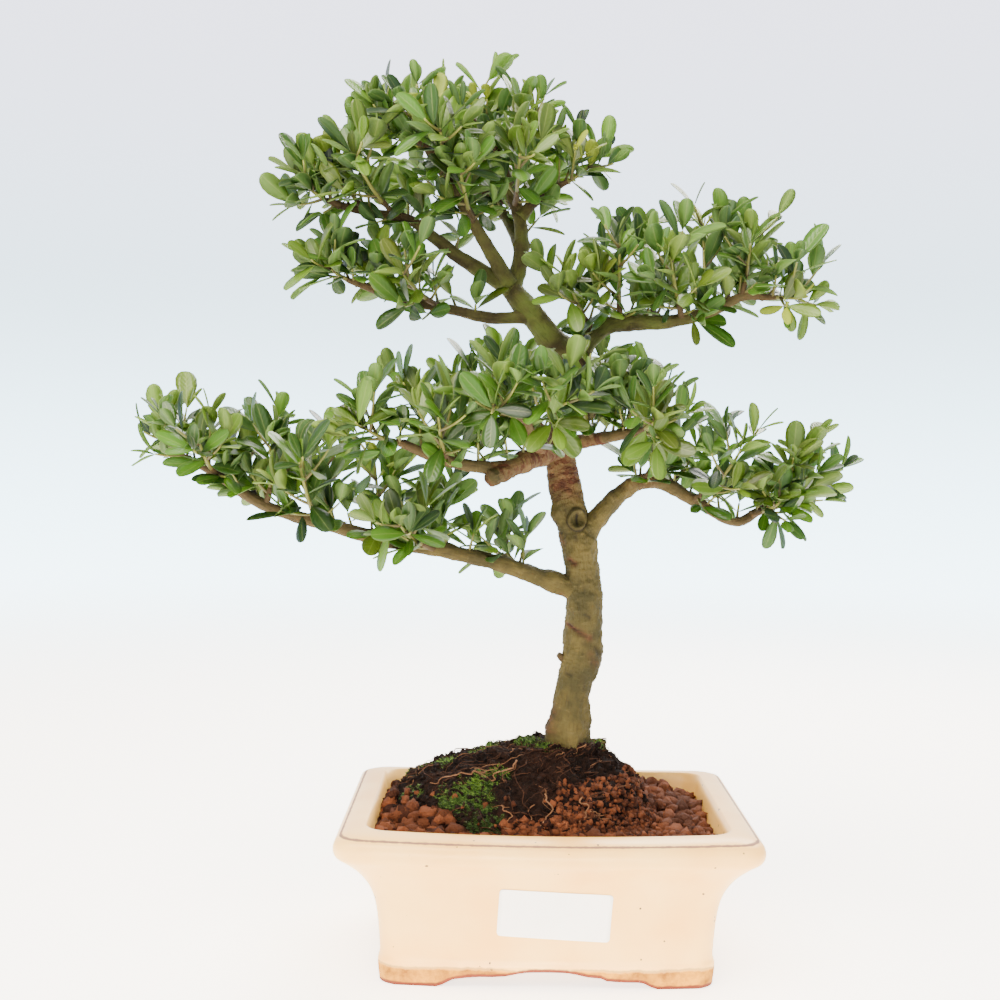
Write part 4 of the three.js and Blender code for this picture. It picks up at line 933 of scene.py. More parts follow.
# %% Root and moss finishes
root_skin, tree, output = new_finish("pale_root_skin")
where = add(tree, "ShaderNodeTexCoord").outputs["Object"]
tint = add(tree, "ShaderNodeAttribute", attribute_name="tint").outputs["Fac"]
stain = add(tree, "ShaderNodeTexNoise", {"Vector": where, "Scale": per_metre(4.5), "Detail": 3})
tan = add(tree, "ShaderNodeMix", {0: stain.outputs[0], 6: linear("#4a2c1c"), 7: linear("#8a6446")},
          data_type="RGBA")
brown = add(tree, "ShaderNodeMix", {0: stain.outputs[0], 6: linear("#160b06"), 7: linear("#3e2416")},
            data_type="RGBA")
root_colour = add(tree, "ShaderNodeMix", {0: tint, 6: brown.outputs[2], 7: tan.outputs[2]}, data_type="RGBA")
root_body = add(tree, "ShaderNodeBsdfPrincipled",
                {"Base Color": root_colour.outputs[2], "Roughness": 0.8, "Specular IOR Level": 0.15})
tree.links.new(root_body.outputs[0], output.inputs["Surface"])

moss_leaf, tree, output = new_finish("moss_leaf")
tint = add(tree, "ShaderNodeAttribute", attribute_name="tint").outputs["Fac"]
green = add(tree, "ShaderNodeMix", {0: tint, 6: linear("#1b2f09"), 7: linear("#5c7c1b")}, data_type="RGBA")
moss_body = add(tree, "ShaderNodeBsdfPrincipled", {"Base Color": green.outputs[2], "Roughness": 0.7})
tree.links.new(moss_body.outputs[0], output.inputs["Surface"])

# %% Fine roots
FINE_ROOTS, PALE_EVERY = 380, 7
LOWEST_ROOT, HIGHEST_ROOT = 1.1, 6.7
THICKEST_PALE, THICKEST_BROWN, THINNEST = 0.3, 0.42, 0.12
BROWN_TINT = 0.05
random = np.random.default_rng(51)
roots = Parts()
for number in range(FINE_ROOTS):
    share = np.linspace(0, 1, 13)
    swing = random.normal(0, 0.22) * share
    swing = swing + random.normal(0, 0.05) * np.sin(2 * np.pi * share * random.uniform(1, 2))
    start, fall = random.uniform(1.4, 6.6), random.uniform(-1.6, 0.5)
    height = random.uniform(0.1, 0.5) + random.uniform(0, 1.6) * np.sin(np.pi * share) ** 2
    level = np.clip(start + fall * share, LOWEST_ROOT, HIGHEST_ROOT)
    path = mound(random.uniform(0, 2 * np.pi) + swing, level, height)
    pale = number % PALE_EVERY == 0
    thick = random.uniform(THINNEST, THICKEST_PALE if pale else THICKEST_BROWN)
    paleness = random.uniform(0.7, 1) if pale else BROWN_TINT
    roots.add(*tube(path, thick * (1 - 0.6 * share), 5), tint=paleness)
print("fine roots:", FINE_ROOTS)

# %% Hanging roots
HANGING_ROOTS = [
    ((281, 3.1), (280, 1.2), 0.42), ((299, 3.0), (297, 1.4), 0.45), ((300, 2.3), (310, 1.7), 0.28),
    ((250, 4.7), (246, 3.6), 0.5), ((238, 4.0), (214, 3.1), 0.4), ((262, 2.6), (266, 1.3), 0.3),
]
for (from_angle, from_level), (to_angle, to_level), thick in HANGING_ROOTS:
    share = np.linspace(0, 1, 21)
    wiggle = 0.035 * np.sin(9 * share + from_angle) + 0.015 * np.sin(23 * share)
    angle = np.radians(from_angle + (to_angle - from_angle) * share) + wiggle
    path = mound(angle, from_level + (to_level - from_level) * share, 0.9 + 0.9 * np.sin(np.pi * share))
    roots.add(*tube(path, thick * (1 - 0.5 * share), 6), tint=0.95)
points, faces, values = roots.result()
make_piece("fine_roots", points, [faces], [root_skin], attributes=values)

# %% Moss
random = np.random.default_rng(61)
SOWN, MOSS_TOP, MOSS_RANGE = 90000, 6.6, 5.6
MOSS_FROM = np.array([0, 2, 55.0])
SPIKE_RADIUS, SPIKE_SUNK = 0.42, 0.3
SUNNY_FROM, SUNNY_OVER = 72, 12
angle = random.uniform(0, 2 * np.pi, SOWN)
places = mound(angle, MOSS_TOP - MOSS_RANGE * np.sqrt(random.uniform(0, 1, SOWN)))
cover = moss_cover(places)
chosen = random.uniform(0, 1, len(places)) < cover
places, cover = places[chosen], cover[chosen]
count = len(places)
out = unit(places - MOSS_FROM)
tall = random.uniform(1.0, 2.3, count) * (0.5 + 0.5 * cover)
tips = places + (unit(out + random.normal(0, 0.45, (count, 3))) * tall[:, None])
corners = np.array([0, 2.1, 4.2])
triangle = SPIKE_RADIUS * np.stack([np.cos(corners), np.sin(corners), np.zeros(3)], -1)
base = np.einsum("nij,kj->nki", random_turns(random, count), triangle)
points = np.concatenate([places[:, None] - SPIKE_SUNK * out[:, None] + base, tips[:, None]], 1)
facing = np.cross(points[:, 1] - points[:, 0], points[:, 2] - points[:, 0])
inward = np.einsum("ni,ni->n", facing, out) < 0
points[inward, 1], points[inward, 2] = points[inward, 2].copy(), points[inward, 1].copy()
spike = np.array([[0, 1, 3], [1, 2, 3], [2, 0, 3], [0, 2, 1]])
faces = (spike + 4 * np.arange(count)[:, None, None]).reshape(-1, 3)
sunny = np.clip((places[:, 2] - SUNNY_FROM) / SUNNY_OVER, 0, 1)
tints = np.repeat(random.uniform(0, 1, count) * (0.3 + 0.7 * sunny), 4)
make_piece("moss", points.reshape(-1, 3), [[faces]], [moss_leaf], attributes={"tint": tints},
           smooth=False)
print("moss leaves:", count)

# %% [markdown]
# ## The tree's skeleton
#
# Each limb is a list of places with a radius, chosen from the photo. A curve through them gives the
# limb its bends. A spray is named by its limb, by the place on it that it leaves, counted in the limb's own
# rows, and by where its tip ends. The CAD solids were made from the same lists, so that the finer limbs lie
# where the solids are.

# %% Limbs and sprays
LIMBS = {
    "trunk": [(11, 2, 72, 8.3), (11, 2, 94, 9.9), (10.6, 1, 107, 9.5), (13, 0, 126, 8.6), (16.6, 0, 142, 9),
              (17, 0, 164, 8.6), (16, 0, 180, 8.1), (13.7, 1, 196, 8.2), (9.6, 2, 212, 7.4),
              (5.6, 4, 230, 7.2), (5.6, 4, 245, 6.8), (8, 2, 264, 6.4), (11, 0, 280, 6.4),
              (6, 0, 286, 5.6)],
    "leader": [(9, 0, 281, 6), (0, 0, 290, 5.9), (-9, 0, 301, 5.4), (-16, 0, 309, 5), (-21, 0, 316, 4.6)],
    "left": [(15, 0, 171, 5), (-2, -3, 177, 4.2), (-24, -8, 184.5, 3.7), (-48, -12, 190, 3.5),
             (-76, -15, 195, 3.4), (-107, -17, 203, 3), (-132, -18, 210.5, 2.6), (-154, -17, 224, 2.1),
             (-168, -15, 231.5, 1.6)],
    "right_low": [(13, 0, 194, 5.4), (24.5, 1, 208, 4.6), (35.5, 3, 219, 4), (46.5, 6, 224, 3.5),
                  (57, 8, 221.5, 3.1), (72, 11, 213.5, 2.7), (91, 15, 204.5, 2.4), (104, 17, 210.5, 1.9),
                  (118, 19, 214, 1.6)],
    "front": [(6, 2, 240, 5), (-9, -22, 234, 4.3), (-19, -35, 230, 4.1), (-28, -45, 225, 3.8)],
    "front_left": [(-18, -34, 229.5, 3.2), (-38, -46, 231, 2.8), (-54, -50, 235, 2.3),
                   (-66, -52, 240, 1.8)],
    "front_mid": [(-4, -14, 236, 3.4), (-9, -32, 243, 2.8), (-12, -48, 249, 2.3), (-12, -60, 254, 1.8)],
    "front_right": [(6, 2, 241, 4), (18, -14, 243, 3.2), (28, -30, 245, 2.6), (38, -44, 247, 1.9)],
    "back": [(5, 4, 240, 4.2), (-4, 26, 248, 3.3), (-14, 46, 257, 2.6), (-20, 58, 264, 1.9)],
    "back_right": [(-1, 18, 245, 3), (14, 36, 252, 2.5), (26, 48, 258, 1.9)],
    "right_up": [(9, 0, 279, 5.4), (18.5, -2, 292, 4.6), (31, -5, 298, 4), (53, -10, 298.5, 3.3),
                 (72, -12, 303, 2.7), (87, -14, 310, 2.1), (98, -16, 310, 1.7)],
    "low_left": [(-8, 0, 301, 3.2), (-28, -5, 299.5, 2.7), (-46, -11, 302.5, 2.4), (-62, -16, 305, 2.2),
                 (-77, -20, 308.5, 2), (-90, -23, 313, 1.6)],
    "crown_left": [(-20, 0, 314, 3.9), (-42, -4, 326.5, 3.3), (-56, -8, 336, 2.9), (-68, -11, 344, 2.4),
                   (-86, -14, 346.5, 2), (-99, -18, 349, 1.6)],
    "crown_up": [(-20, 0, 314, 4), (-16, 3, 324, 3.6), (-15, 5, 336, 3.4), (-16, 6, 347, 3.2),
                 (-20, 8, 359, 2.9), (-25, 10, 374, 2.3), (-29, 10, 386, 1.7)],
    "crown_mid": [(-21, -2, 316, 3.6), (-35, -13, 338, 3), (-49, -22, 360, 2.5), (-60, -24, 376, 1.9)],
    "crown_right": [(-16, 5, 348, 2.8), (-9, 7, 356, 2.3), (0, 8, 363, 1.8)],
    "crown_back": [(-15, 4, 334, 3.2), (-22, 26, 350, 2.7), (-32, 44, 366, 2.2), (-38, 54, 378, 1.8)],
}
SPRAYS = {
    "crown": [
        ("crown_left", 5, (-114, -24, 357)), ("crown_left", 4, (-102, -8, 373)),
        ("crown_left", 3.2, (-91, -44, 369)), ("crown_mid", 3, (-83, -12, 391)),
        ("crown_mid", 2.8, (-65, -30, 393)), ("crown_mid", 2, (-52, -54, 379)),
        ("crown_mid", 1.2, (-43, -52, 361)), ("crown_up", 5.6, (-39, 8, 407)),
        ("crown_up", 5, (-56, 30, 395)), ("crown_up", 5, (-9, -4, 396)), ("crown_up", 3.6, (-17, -44, 370)),
        ("crown_right", 2, (17, 0, 373)), ("crown_back", 3, (-40, 60, 396)),
        ("crown_back", 1.6, (-2, 46, 379)), ("crown_back", 2, (-74, 42, 370)),
    ],
    "under_crown": [
        ("low_left", 5, (-103, -28, 320)), ("low_left", 3.6, (-81, 8, 329)),
        ("low_left", 2.4, (-69, -46, 317)),
    ],
    "right_up": [
        ("right_up", 1.2, (5, -22, 321)), ("right_up", 2, (29, -26, 336)), ("right_up", 2.8, (45, 24, 348)),
        ("right_up", 3.4, (50, -44, 326)), ("right_up", 4, (70, 0, 350)), ("right_up", 4.6, (86, 24, 342)),
        ("right_up", 5, (91, -14, 340)), ("right_up", 5.8, (112, -28, 308)),
    ],
    "middle": [
        ("front_left", 3, (-84, -64, 248)), ("front_left", 1.8, (-62, -34, 265)),
        ("front_left", 1.6, (-50, -82, 253)), ("front_mid", 1, (-23, -44, 271)),
        ("front_mid", 2.4, (-28, -84, 258)), ("front_mid", 3, (5, -82, 259)),
        ("front_right", 1.2, (11, -36, 270)), ("front_right", 2, (39, -34, 267)),
        ("front_right", 3, (42, -72, 252)),
    ],
    "back": [
        ("back", 1.4, (-49, 42, 274)), ("back", 3, (-25, 74, 282)), ("back_right", 2, (29, 62, 276)),
    ],
    "left": [
        ("left", 8, (-180, -12, 244)), ("left", 7, (-158, -44, 241)), ("left", 6.2, (-147, 14, 244)),
        ("left", 6, (-126, -24, 249)), ("left", 5, (-112, -54, 234)), ("left", 4.8, (-108, 14, 245)),
        ("left", 4, (-82, -24, 239)), ("left", 3.2, (-69, -48, 206)), ("left", 3, (-53, 16, 217)),
        ("left", 1.4, (-24, 6, 197)),
    ],
    "right_low": [
        ("right_low", 2.8, (54, -12, 256)), ("right_low", 4, (78, 38, 251)),
        ("right_low", 4.8, (88, -22, 242)), ("right_low", 6.6, (109, -8, 216)),
        ("right_low", 7, (118, 2, 238)), ("right_low", 8, (132, 32, 226)),
    ],
}


def bezier(start, bend, end, u):
    """A curve from start to end that is pulled towards bend, and its direction: the weights are
    (1 - u)^2, 2u(1 - u) and u^2."""
    u = np.asarray(u, float)[:, None]
    point = (1 - u) ** 2 * start + 2 * u * (1 - u) * bend + u ** 2 * end
    return point, unit(2 * (1 - u) * (bend - start) + 2 * u * (end - bend))


def on_limb(limb, place):
    """A place on a limb's route, between two of its rows."""
    route = np.array(LIMBS[limb], float)[:, :3]
    i = min(int(place), len(route) - 2)
    return route[i] + (route[i + 1] - route[i]) * (place - i)


SPRAY_BEND = (0.6, 0.6, 0.25)


def spray_curve(limb, place, tip):
    """The three points of a spray's middle path: from its limb out sideways first, then rising to its tip."""
    foot, end = on_limb(limb, place), np.array(tip, float)
    return foot, foot + (end - foot) * SPRAY_BEND, end


# %% [markdown]
# ## Bark
#
# The bark of this holly is thin and olive on the trunk, greener where algae grow, with fine wrinkles along
# the limb, pale corky spots, grazes that show the red-brown layer below, and corky brown patches near the
# forks; younger wood is browner. The pattern has to follow each bending limb, so each point of the wood
# carries a place on the limb as if it had been straightened: across, deep and along. Noise in those
# coordinates bends with the limb: wrinkles one millimetre apart and stretched along it, rings of 2.4 mm
# stretched round it, and blotches of 13 mm.

# %% Bark finish
bark, tree, output = new_finish("thin_olive_bark")
straight = add(tree, "ShaderNodeAttribute", attribute_name="straight").outputs["Vector"]
stretch = add(tree, "ShaderNodeMapping", {"Vector": straight, "Scale": (1, 1, 0.22)})
fibres = add(tree, "ShaderNodeTexNoise",
             {"Vector": stretch.outputs[0], "Scale": per_metre(1.11), "Detail": 5, "Roughness": 0.6})
squat = add(tree, "ShaderNodeMapping", {"Vector": straight, "Scale": (0.5, 0.5, 1.3)})
rings = add(tree, "ShaderNodeTexNoise",
            {"Vector": squat.outputs[0], "Scale": per_metre(2.4), "Detail": 4, "Roughness": 0.65})
blotch = add(tree, "ShaderNodeTexNoise", {"Vector": straight, "Scale": per_metre(13.3), "Detail": 4})
blotch_share = add(tree, "ShaderNodeMapRange", {0: blotch.outputs[0], 1: 0.38, 2: 0.62})
olive = add(tree, "ShaderNodeMix", {0: blotch_share.outputs[0], 6: linear("#383319"), 7: linear("#534823")},
            data_type="RGBA")
fleck = add(tree, "ShaderNodeMapRange", {0: rings.outputs[0], 1: 0.58, 2: 0.72, 3: 0.0, 4: 0.4})
flecked = add(tree, "ShaderNodeMix", {0: fleck.outputs[0], 6: olive.outputs[2], 7: linear("#665a37")},
              data_type="RGBA")

# %% [markdown]
# Algae green the bark above 26 to 29 cm. The fibres' low places are painted dark as the shade in the grooves,
# and thin limbs have browner bark.

# %% Algae, painted shade in the grooves and young bark
ALGAE_FROM, ALGAE_FULL = 262 * MM, 288 * MM
where = add(tree, "ShaderNodeTexCoord").outputs["Object"]
height = add(tree, "ShaderNodeSeparateXYZ", {0: where}).outputs["Z"]
algae_height = add(tree, "ShaderNodeMapRange", {0: height, 1: ALGAE_FROM, 2: ALGAE_FULL, 3: 0.0, 4: 0.9})
algae = add(tree, "ShaderNodeMath", {0: algae_height.outputs[0], 1: blotch_share.outputs[0]},
            operation="MULTIPLY")
greened = add(tree, "ShaderNodeMix", {0: algae.outputs[0], 6: flecked.outputs[2], 7: linear("#525c26")},
              data_type="RGBA")
# Painted shade: the bark darkens towards near black where the fibres' relief is lowest, in the grooves.
groove_shade = add(tree, "ShaderNodeMapRange", {0: fibres.outputs[0], 1: 0.48, 2: 0.3, 3: 0.0, 4: 0.4})
groove_shaded = add(tree, "ShaderNodeMix", {0: groove_shade.outputs[0], 6: greened.outputs[2], 7: linear("#251c0d")},
              data_type="RGBA")
thin = add(tree, "ShaderNodeAttribute", attribute_name="thin").outputs["Fac"]
browner = add(tree, "ShaderNodeMix", {0: blotch.outputs[0], 6: linear("#2e2413"), 7: linear("#57462b")},
              data_type="RGBA")
limb_colour = add(tree, "ShaderNodeMix", {0: thin, 6: groove_shaded.outputs[2], 7: browner.outputs[2]},
                  data_type="RGBA")

# %% [markdown]
# Corky bark breaks up in flakes of 4 mm. A graze shows red-brown, and a crack is nearly black. The slit of
# the old cut and the sunken ring round its rim are nearly black as painted shade, most below the rim. Corky
# flakes, wrinkles and rings together make the relief.

# %% Cork, grazes and relief
cracked = add(tree, "ShaderNodeAttribute", attribute_name="cracked").outputs["Fac"]
corky = add(tree, "ShaderNodeTexNoise",
            {"Vector": squat.outputs[0], "Scale": per_metre(3.85), "Detail": 5, "Roughness": 0.7,
             "Distortion": 0.8})
cork_share = add(tree, "ShaderNodeMapRange", {0: corky.outputs[0], 1: 0.42, 2: 0.6})
cork_colour = add(tree, "ShaderNodeMix",
                  {0: cork_share.outputs[0], 6: linear("#472615"), 7: linear("#75593a")},
                  data_type="RGBA")
cork_edges = add(tree, "ShaderNodeMapRange", {0: corky.outputs[0], 1: 0.6, 2: 0.4})
cork_place = add(tree, "ShaderNodeMath", {0: cracked, 1: cork_edges.outputs[0]}, operation="MULTIPLY")
cork_mix = add(tree, "ShaderNodeMath", {0: cracked, 1: 0.45, 2: cork_place.outputs[0]},
               operation="MULTIPLY_ADD", use_clamp=True)
rugged = add(tree, "ShaderNodeMix",
             {0: cork_mix.outputs[0], 6: limb_colour.outputs[2], 7: cork_colour.outputs[2]},
             data_type="RGBA")
graze = add(tree, "ShaderNodeAttribute", attribute_name="graze").outputs["Fac"]
graze_colour = add(tree, "ShaderNodeMix",
                   {0: cork_share.outputs[0], 6: linear("#2a1109"), 7: linear("#5b3020")},
                   data_type="RGBA")
grazed = add(tree, "ShaderNodeMix", {0: graze, 6: rugged.outputs[2], 7: graze_colour.outputs[2]},
             data_type="RGBA")
# The dark marks are the bark's wounds; the old cut's slit and sunken ring, in the same mask, are painted
# shade.
mark_and_cut_shade_mask = add(tree, "ShaderNodeAttribute", attribute_name="mark_and_cut_shade").outputs["Fac"]
wounded_and_shaded = add(tree, "ShaderNodeMix", {0: mark_and_cut_shade_mask, 6: grazed.outputs[2], 7: linear("#120d06")},
              data_type="RGBA")
relief = add(tree, "ShaderNodeMath", {0: cork_share.outputs[0], 1: cork_mix.outputs[0]}, operation="MULTIPLY")
relief_sum = add(tree, "ShaderNodeMath", {0: relief.outputs[0], 1: 1.5, 2: fibres.outputs[0]},
                 operation="MULTIPLY_ADD")
relief_all = add(tree, "ShaderNodeMath", {0: rings.outputs[0], 1: 0.6, 2: relief_sum.outputs[0]},
                 operation="MULTIPLY_ADD")
bark_bump = add(tree, "ShaderNodeBump",
                {"Height": relief_all.outputs[0], "Strength": 0.9, "Distance": 0.8 * MM})
bark_body = add(tree, "ShaderNodeBsdfPrincipled",
                {"Base Color": wounded_and_shaded.outputs[2], "Roughness": 0.78, "Specular IOR Level": 0.2,
                 "Normal": bark_bump.outputs[0]})
tree.links.new(bark_body.outputs[0], output.inputs["Surface"])

# %% [markdown]
# ## Wood
#
# A limb is a tube along its curve, thicker where it leaves the limb that carries it. The tubes run into each
# other, which on a living tree looks like a joint. Lumps, knots, the swollen foot and the rim of an old cut
# are all added to the tube's radius, so that the skin stays whole. A knot is a place, a width and a height. A
# graze or a dark mark runs between two places on the front, with a half width and a strength.

# %% Knots and wounds
KNOTS = [
    ((3, -4, 177), 4.5, 2.4), ((12, -8, 182), 3.5, 1.2), ((-6, -16, 236), 5, 2.6), ((-14, -28, 233), 5, 2.2),
    ((2, -4, 240), 5, 2.0), ((-22, -38, 229), 4, 1.8), ((20, -4, 196), 5, 1.4), ((8, 6, 222), 6, 1.4),
    ((1.5, -3, 207.5), 4.5, 4.2), ((3, -5, 106), 5, 1.6), ((17, 8, 150), 6, 1.8), ((12, 2, 286), 5, 1.6),
    ((-47, -12, 192), 3.5, 1.2), ((-80, -16, 198), 3, 1.2), ((30, 0, 216), 3, 1.2), ((38, 1, 223), 2.5, 1.6),
    ((48, 5, 224), 3.5, 1.4), ((60, 8, 222), 3, 1.0), ((-16, 2, 336), 3.5, 1.2), ((34, -5, 298), 3.5, 1.2),
]
CUT = {"at": (12.9, 205.6), "half_x": 4.2, "half_z": 4.9}
GRAZES = [
    ((9.2, 155.6), (14.2, 152.6), 1.0, 0.95), ((14.2, 152.6), (20.0, 149.4), 1.5, 0.75),
    ((9.6, 186.4), (12.6, 184.6), 1.2, 0.85), ((5.2, 222.5), (9.4, 219.0), 2.0, 0.7),
    ((20.0, 142.0), (22.6, 137.5), 2.0, 0.3), ((1.8, 116.0), (2.6, 105.0), 2.6, 0.4),
    ((4.5, 198.0), (6.5, 194.0), 1.4, 0.4), ((6.0, 170.0), (7.5, 167.0), 1.3, 0.4),
    ((-30.5, 226.5), (-28.5, 222.5), 2.8, 0.85),
]
DARK_MARKS = [
    ((17.2, 160.8), (19.4, 159.6), 0.8, 0.7), ((9.0, 132.6), (11.2, 131.8), 0.7, 0.7),
    ((12.2, 197.8), (12.5, 195.4), 1.0, 0.45), ((21.0, 207.9), (21.4, 206.4), 0.9, 0.6),
    ((9.4, 155.6), (12.4, 153.4), 0.5, 0.8), ((22.6, 145.0), (24.6, 140.5), 1.2, 0.5),
    ((17.0, 147.0), (20.0, 145.6), 1.6, 0.3),
]


def streaks(x, z, rows):
    """Marks drawn on the front of the wood: the strength of each falls off from the line between its two
    places like a bell, and the strongest one counts."""
    marked = np.zeros(x.shape)
    for start, end, half, strong in rows:
        start, step = np.array(start), np.array(end) - np.array(start)
        share = np.clip(((x - start[0]) * step[0] + (z - start[1]) * step[1]) / (step @ step), 0, 1)
        away = np.hypot(x - start[0] - share * step[0], z - start[1] - share * step[1])
        marked = np.maximum(marked, strong * np.exp(-(away / half) ** 2))
    return marked


def old_cut(x, z):
    """The trunk's old cut: how far its rolled rim stands out and its middle and its edge sink in, each a bell
    of the distance from its centre, and its painted shade: a dark slit down its sunken middle and a dark ring
    in its sunken edge, strongest below the rim."""
    across, up = (x - CUT["at"][0]) / CUT["half_x"], (z - CUT["at"][1]) / CUT["half_z"]
    oval = np.hypot(across, up)
    rise = (1.7 * np.exp(-((oval - 0.82) / 0.2) ** 2) - 1.3 * np.exp(-(oval / 0.5) ** 2)
            - 0.5 * np.exp(-((oval - 1.2) / 0.14) ** 2))
    # Painted shade: a dark slit down the sunken middle, and a dark ring in the sunken edge, darker below than
    # above.
    slit_shade = np.exp(-(across / (0.2 + 0.1 * np.clip(up, -1, 1))) ** 2) * np.exp(-((up - 0.05) / 0.6) ** 4)
    outline = np.exp(-((oval - 1.14) / 0.12) ** 2) * np.clip(0.62 - 0.3 * up, 0, 1)
    return rise, slit_shade + outline


COARSE_LUMPS = [{"share": 0.07, "size": 26, "seed": 71}, {"share": 0.05, "size": 9, "seed": 72}]
FINE_LUMPS = [{"share": 0.3, "size": 3.4, "seed": 73}, {"share": 0.22, "size": 1.7, "seed": 74}]
FLARE = {"from": 94, "fall": 9.0, "to": 140, "radius": 8}
CORKY = [
    {"share": 0.5, "at": 227, "half": 13, "power": 4, "radius": 5, "reach": math.inf},
    {"share": 0.9, "at": 236, "half": 12, "power": 2, "radius": 2.8, "reach": 52},
    {"share": 0.15, "at": 272, "half": 16, "power": 4, "radius": 5, "reach": math.inf},
]
GRAZE_DEPTH, MARK_DEPTH = 0.5, 0.4


def wood_relief(points, radius, angle):
    """How far the bark stands out, in millimetres, with its masks for corky bark, grazes, and dark wounds
    together with the old cut's painted shade. Coarse lumps grow with the radius, a knot is a bell, and the
    foot swells in five ridges and three."""
    x, y, z = points[..., 0], points[..., 1], points[..., 2]
    front = (y < 1) & (radius > 3)
    stem = (y < 0) & (radius > 6)
    rise = radius * sum(row["share"] * lumps(points, row["size"], row["seed"]) for row in COARSE_LUMPS)
    fine = sum(row["share"] * lumps(points, row["size"], row["seed"]) for row in FINE_LUMPS)
    rise = rise + np.clip(radius / 6, 0.25, 1) * fine
    for at, size, height in KNOTS:
        rise = rise + height * np.exp(-((np.linalg.norm(points - np.array(at, float), axis=-1) / size) ** 2))
    near_foot = np.exp(-np.clip(z - FLARE["from"], 0, None) / FLARE["fall"])
    near_foot = near_foot * (z < FLARE["to"]) * (radius > FLARE["radius"])
    rise = rise + near_foot * (2.2 + 2.0 * np.cos(5 * angle + 0.6) + 0.9 * np.cos(3 * angle))
    cut_rise, cut_shade = old_cut(x, z)
    graze, dark = front * streaks(x, z, GRAZES), front * streaks(x, z, DARK_MARKS)
    rise = rise + stem * cut_rise - GRAZE_DEPTH * graze - MARK_DEPTH * dark
    corky = sum(row["share"] * np.exp(-((z - row["at"]) / row["half"]) ** row["power"])
                * (radius > row["radius"]) * (np.hypot(x, y) < row["reach"]) for row in CORKY)
    return rise, np.clip(corky, 0, 1), graze, np.clip(dark + stem * cut_shade, 0, 1)


THINNEST_LIMB = 0.4
COLLAR = {"share": 0.3, "reach": 1.2, "radius": 7}
THIN_UNDER, THIN_OVER = 3.8, 2.0


def length_along(path):
    """How far along a path each of its points lies: the running sum of its steps."""
    return np.concatenate([[0], np.cumsum(np.linalg.norm(np.diff(path, axis=0), axis=1))])


def limb_shape(rows, sides, steps, first_length):
    """A limb's points, faces and values from its rows of x, y, z and radius. The radius gains a share that
    falls off along the limb from its foot, and the relief is added to it."""
    rows = smooth_path(rows, steps)
    path, radii = rows[:, :3], np.maximum(rows[:, 3], THINNEST_LIMB)
    length = length_along(path)
    collar = COLLAR["share"] * np.exp(-length / (COLLAR["reach"] * radii[0])) * (radii[0] < COLLAR["radius"])
    radii = radii * (1 + collar)
    round_it, angles = rings_along(path, sides)
    skin = path[:, None] + round_it * radii[:, None, None]
    rise, cracked, graze, mark_and_cut_shade = wood_relief(skin, radii[:, None], angles[None, :])
    points, quads, caps = tube(path, radii, sides)
    points[:len(path) * sides] = (skin + round_it * rise[..., None]).reshape(-1, 3)
    straight = np.stack(np.broadcast_arrays(radii[:, None] * np.cos(angles), radii[:, None] * np.sin(angles),
                                            length[:, None] + first_length), -1).reshape(-1, 3) * MM
    ends = np.array([[0, 0, first_length], [0, 0, first_length + length[-1]]]) * MM
    pad = [0.0, 0.0]
    masks = {"cracked": cracked, "graze": graze, "mark_and_cut_shade": mark_and_cut_shade,
             "thin": np.clip((THIN_UNDER - np.repeat(radii, sides)) / THIN_OVER, 0, 1)}
    masks = {key: np.append(mask.ravel(), pad) for key, mask in masks.items()}
    return points, quads, caps, {"straight": np.vstack([straight, ends]), **masks}


# %% [markdown]
# The straightened limbs are laid 300 mm apart in the noise, so that no two have the same pattern. Each spray
# has a woody twig as its first third, and the stub of an old branch stands on the trunk's left side.

# %% Wood
LIMB_SPACING, STUB_ALONG = 300, 290
WOODY_SHARE, TWIG_FIRST = 0.34, 30
TWIG_ROWS, TWIG_FOOT, TWIG_END = 7, 1.6, 1.15
OLD_STUB = [(15, -1, 138, 3), (8, -2, 139, 2), (5, -3, 141, 1.3)]
THICK_LIMBS = ("leader", "left", "right_low", "front", "right_up")
wood = Parts()
for number, (name, rows) in enumerate(LIMBS.items()):
    sides, steps = (110, 26) if name == "trunk" else (48, 16) if name in THICK_LIMBS else (24, 10)
    points, quads, caps, values = limb_shape(rows, sides, steps, LIMB_SPACING * number)
    wood.add(points, quads, caps, **values)
spray_list = [(f"spray_{pad}_{i + 1}", row) for pad, rows in SPRAYS.items() for i, row in enumerate(rows)]
for number, (name, row) in enumerate(spray_list):
    share = np.linspace(0, 1, TWIG_ROWS)
    path, _ = bezier(*spray_curve(*row), WOODY_SHARE * share)
    wobble = 2 * lumps(path, 12, number)[:, None] * np.array([1, -1, 0.5])
    path = path + wobble * (share * (1 - share))[:, None]
    twig = np.column_stack([path, TWIG_FOOT + (TWIG_END - TWIG_FOOT) * share])
    points, quads, caps, values = limb_shape(twig, 9, 2, LIMB_SPACING * (TWIG_FIRST + number))
    wood.add(points, quads, caps, **values)
points, quads, caps, values = limb_shape(OLD_STUB, 14, 6, STUB_ALONG)
wood.add(points, quads, caps, **values)
points, faces, values = wood.result()
make_piece("wood_barked", points, [faces], [bark], ["wood"], values)
print("wood: points", len(points))

# %% [markdown]
# ## Leaves
#
# A leaf of this holly is a small oval of thick, leathery blade, 13 to 22 mm long: dark and softly glossy
# above, pale and dull below, with a pale midrib and a thin pale margin. New leaves are yellow-green. Light
# passes through the blade, so the leaves with the light behind them glow. The blade is a closed shape of four
# dozen faces, so its two sides can have a colour each: the mesh marks which faces are the upper side.

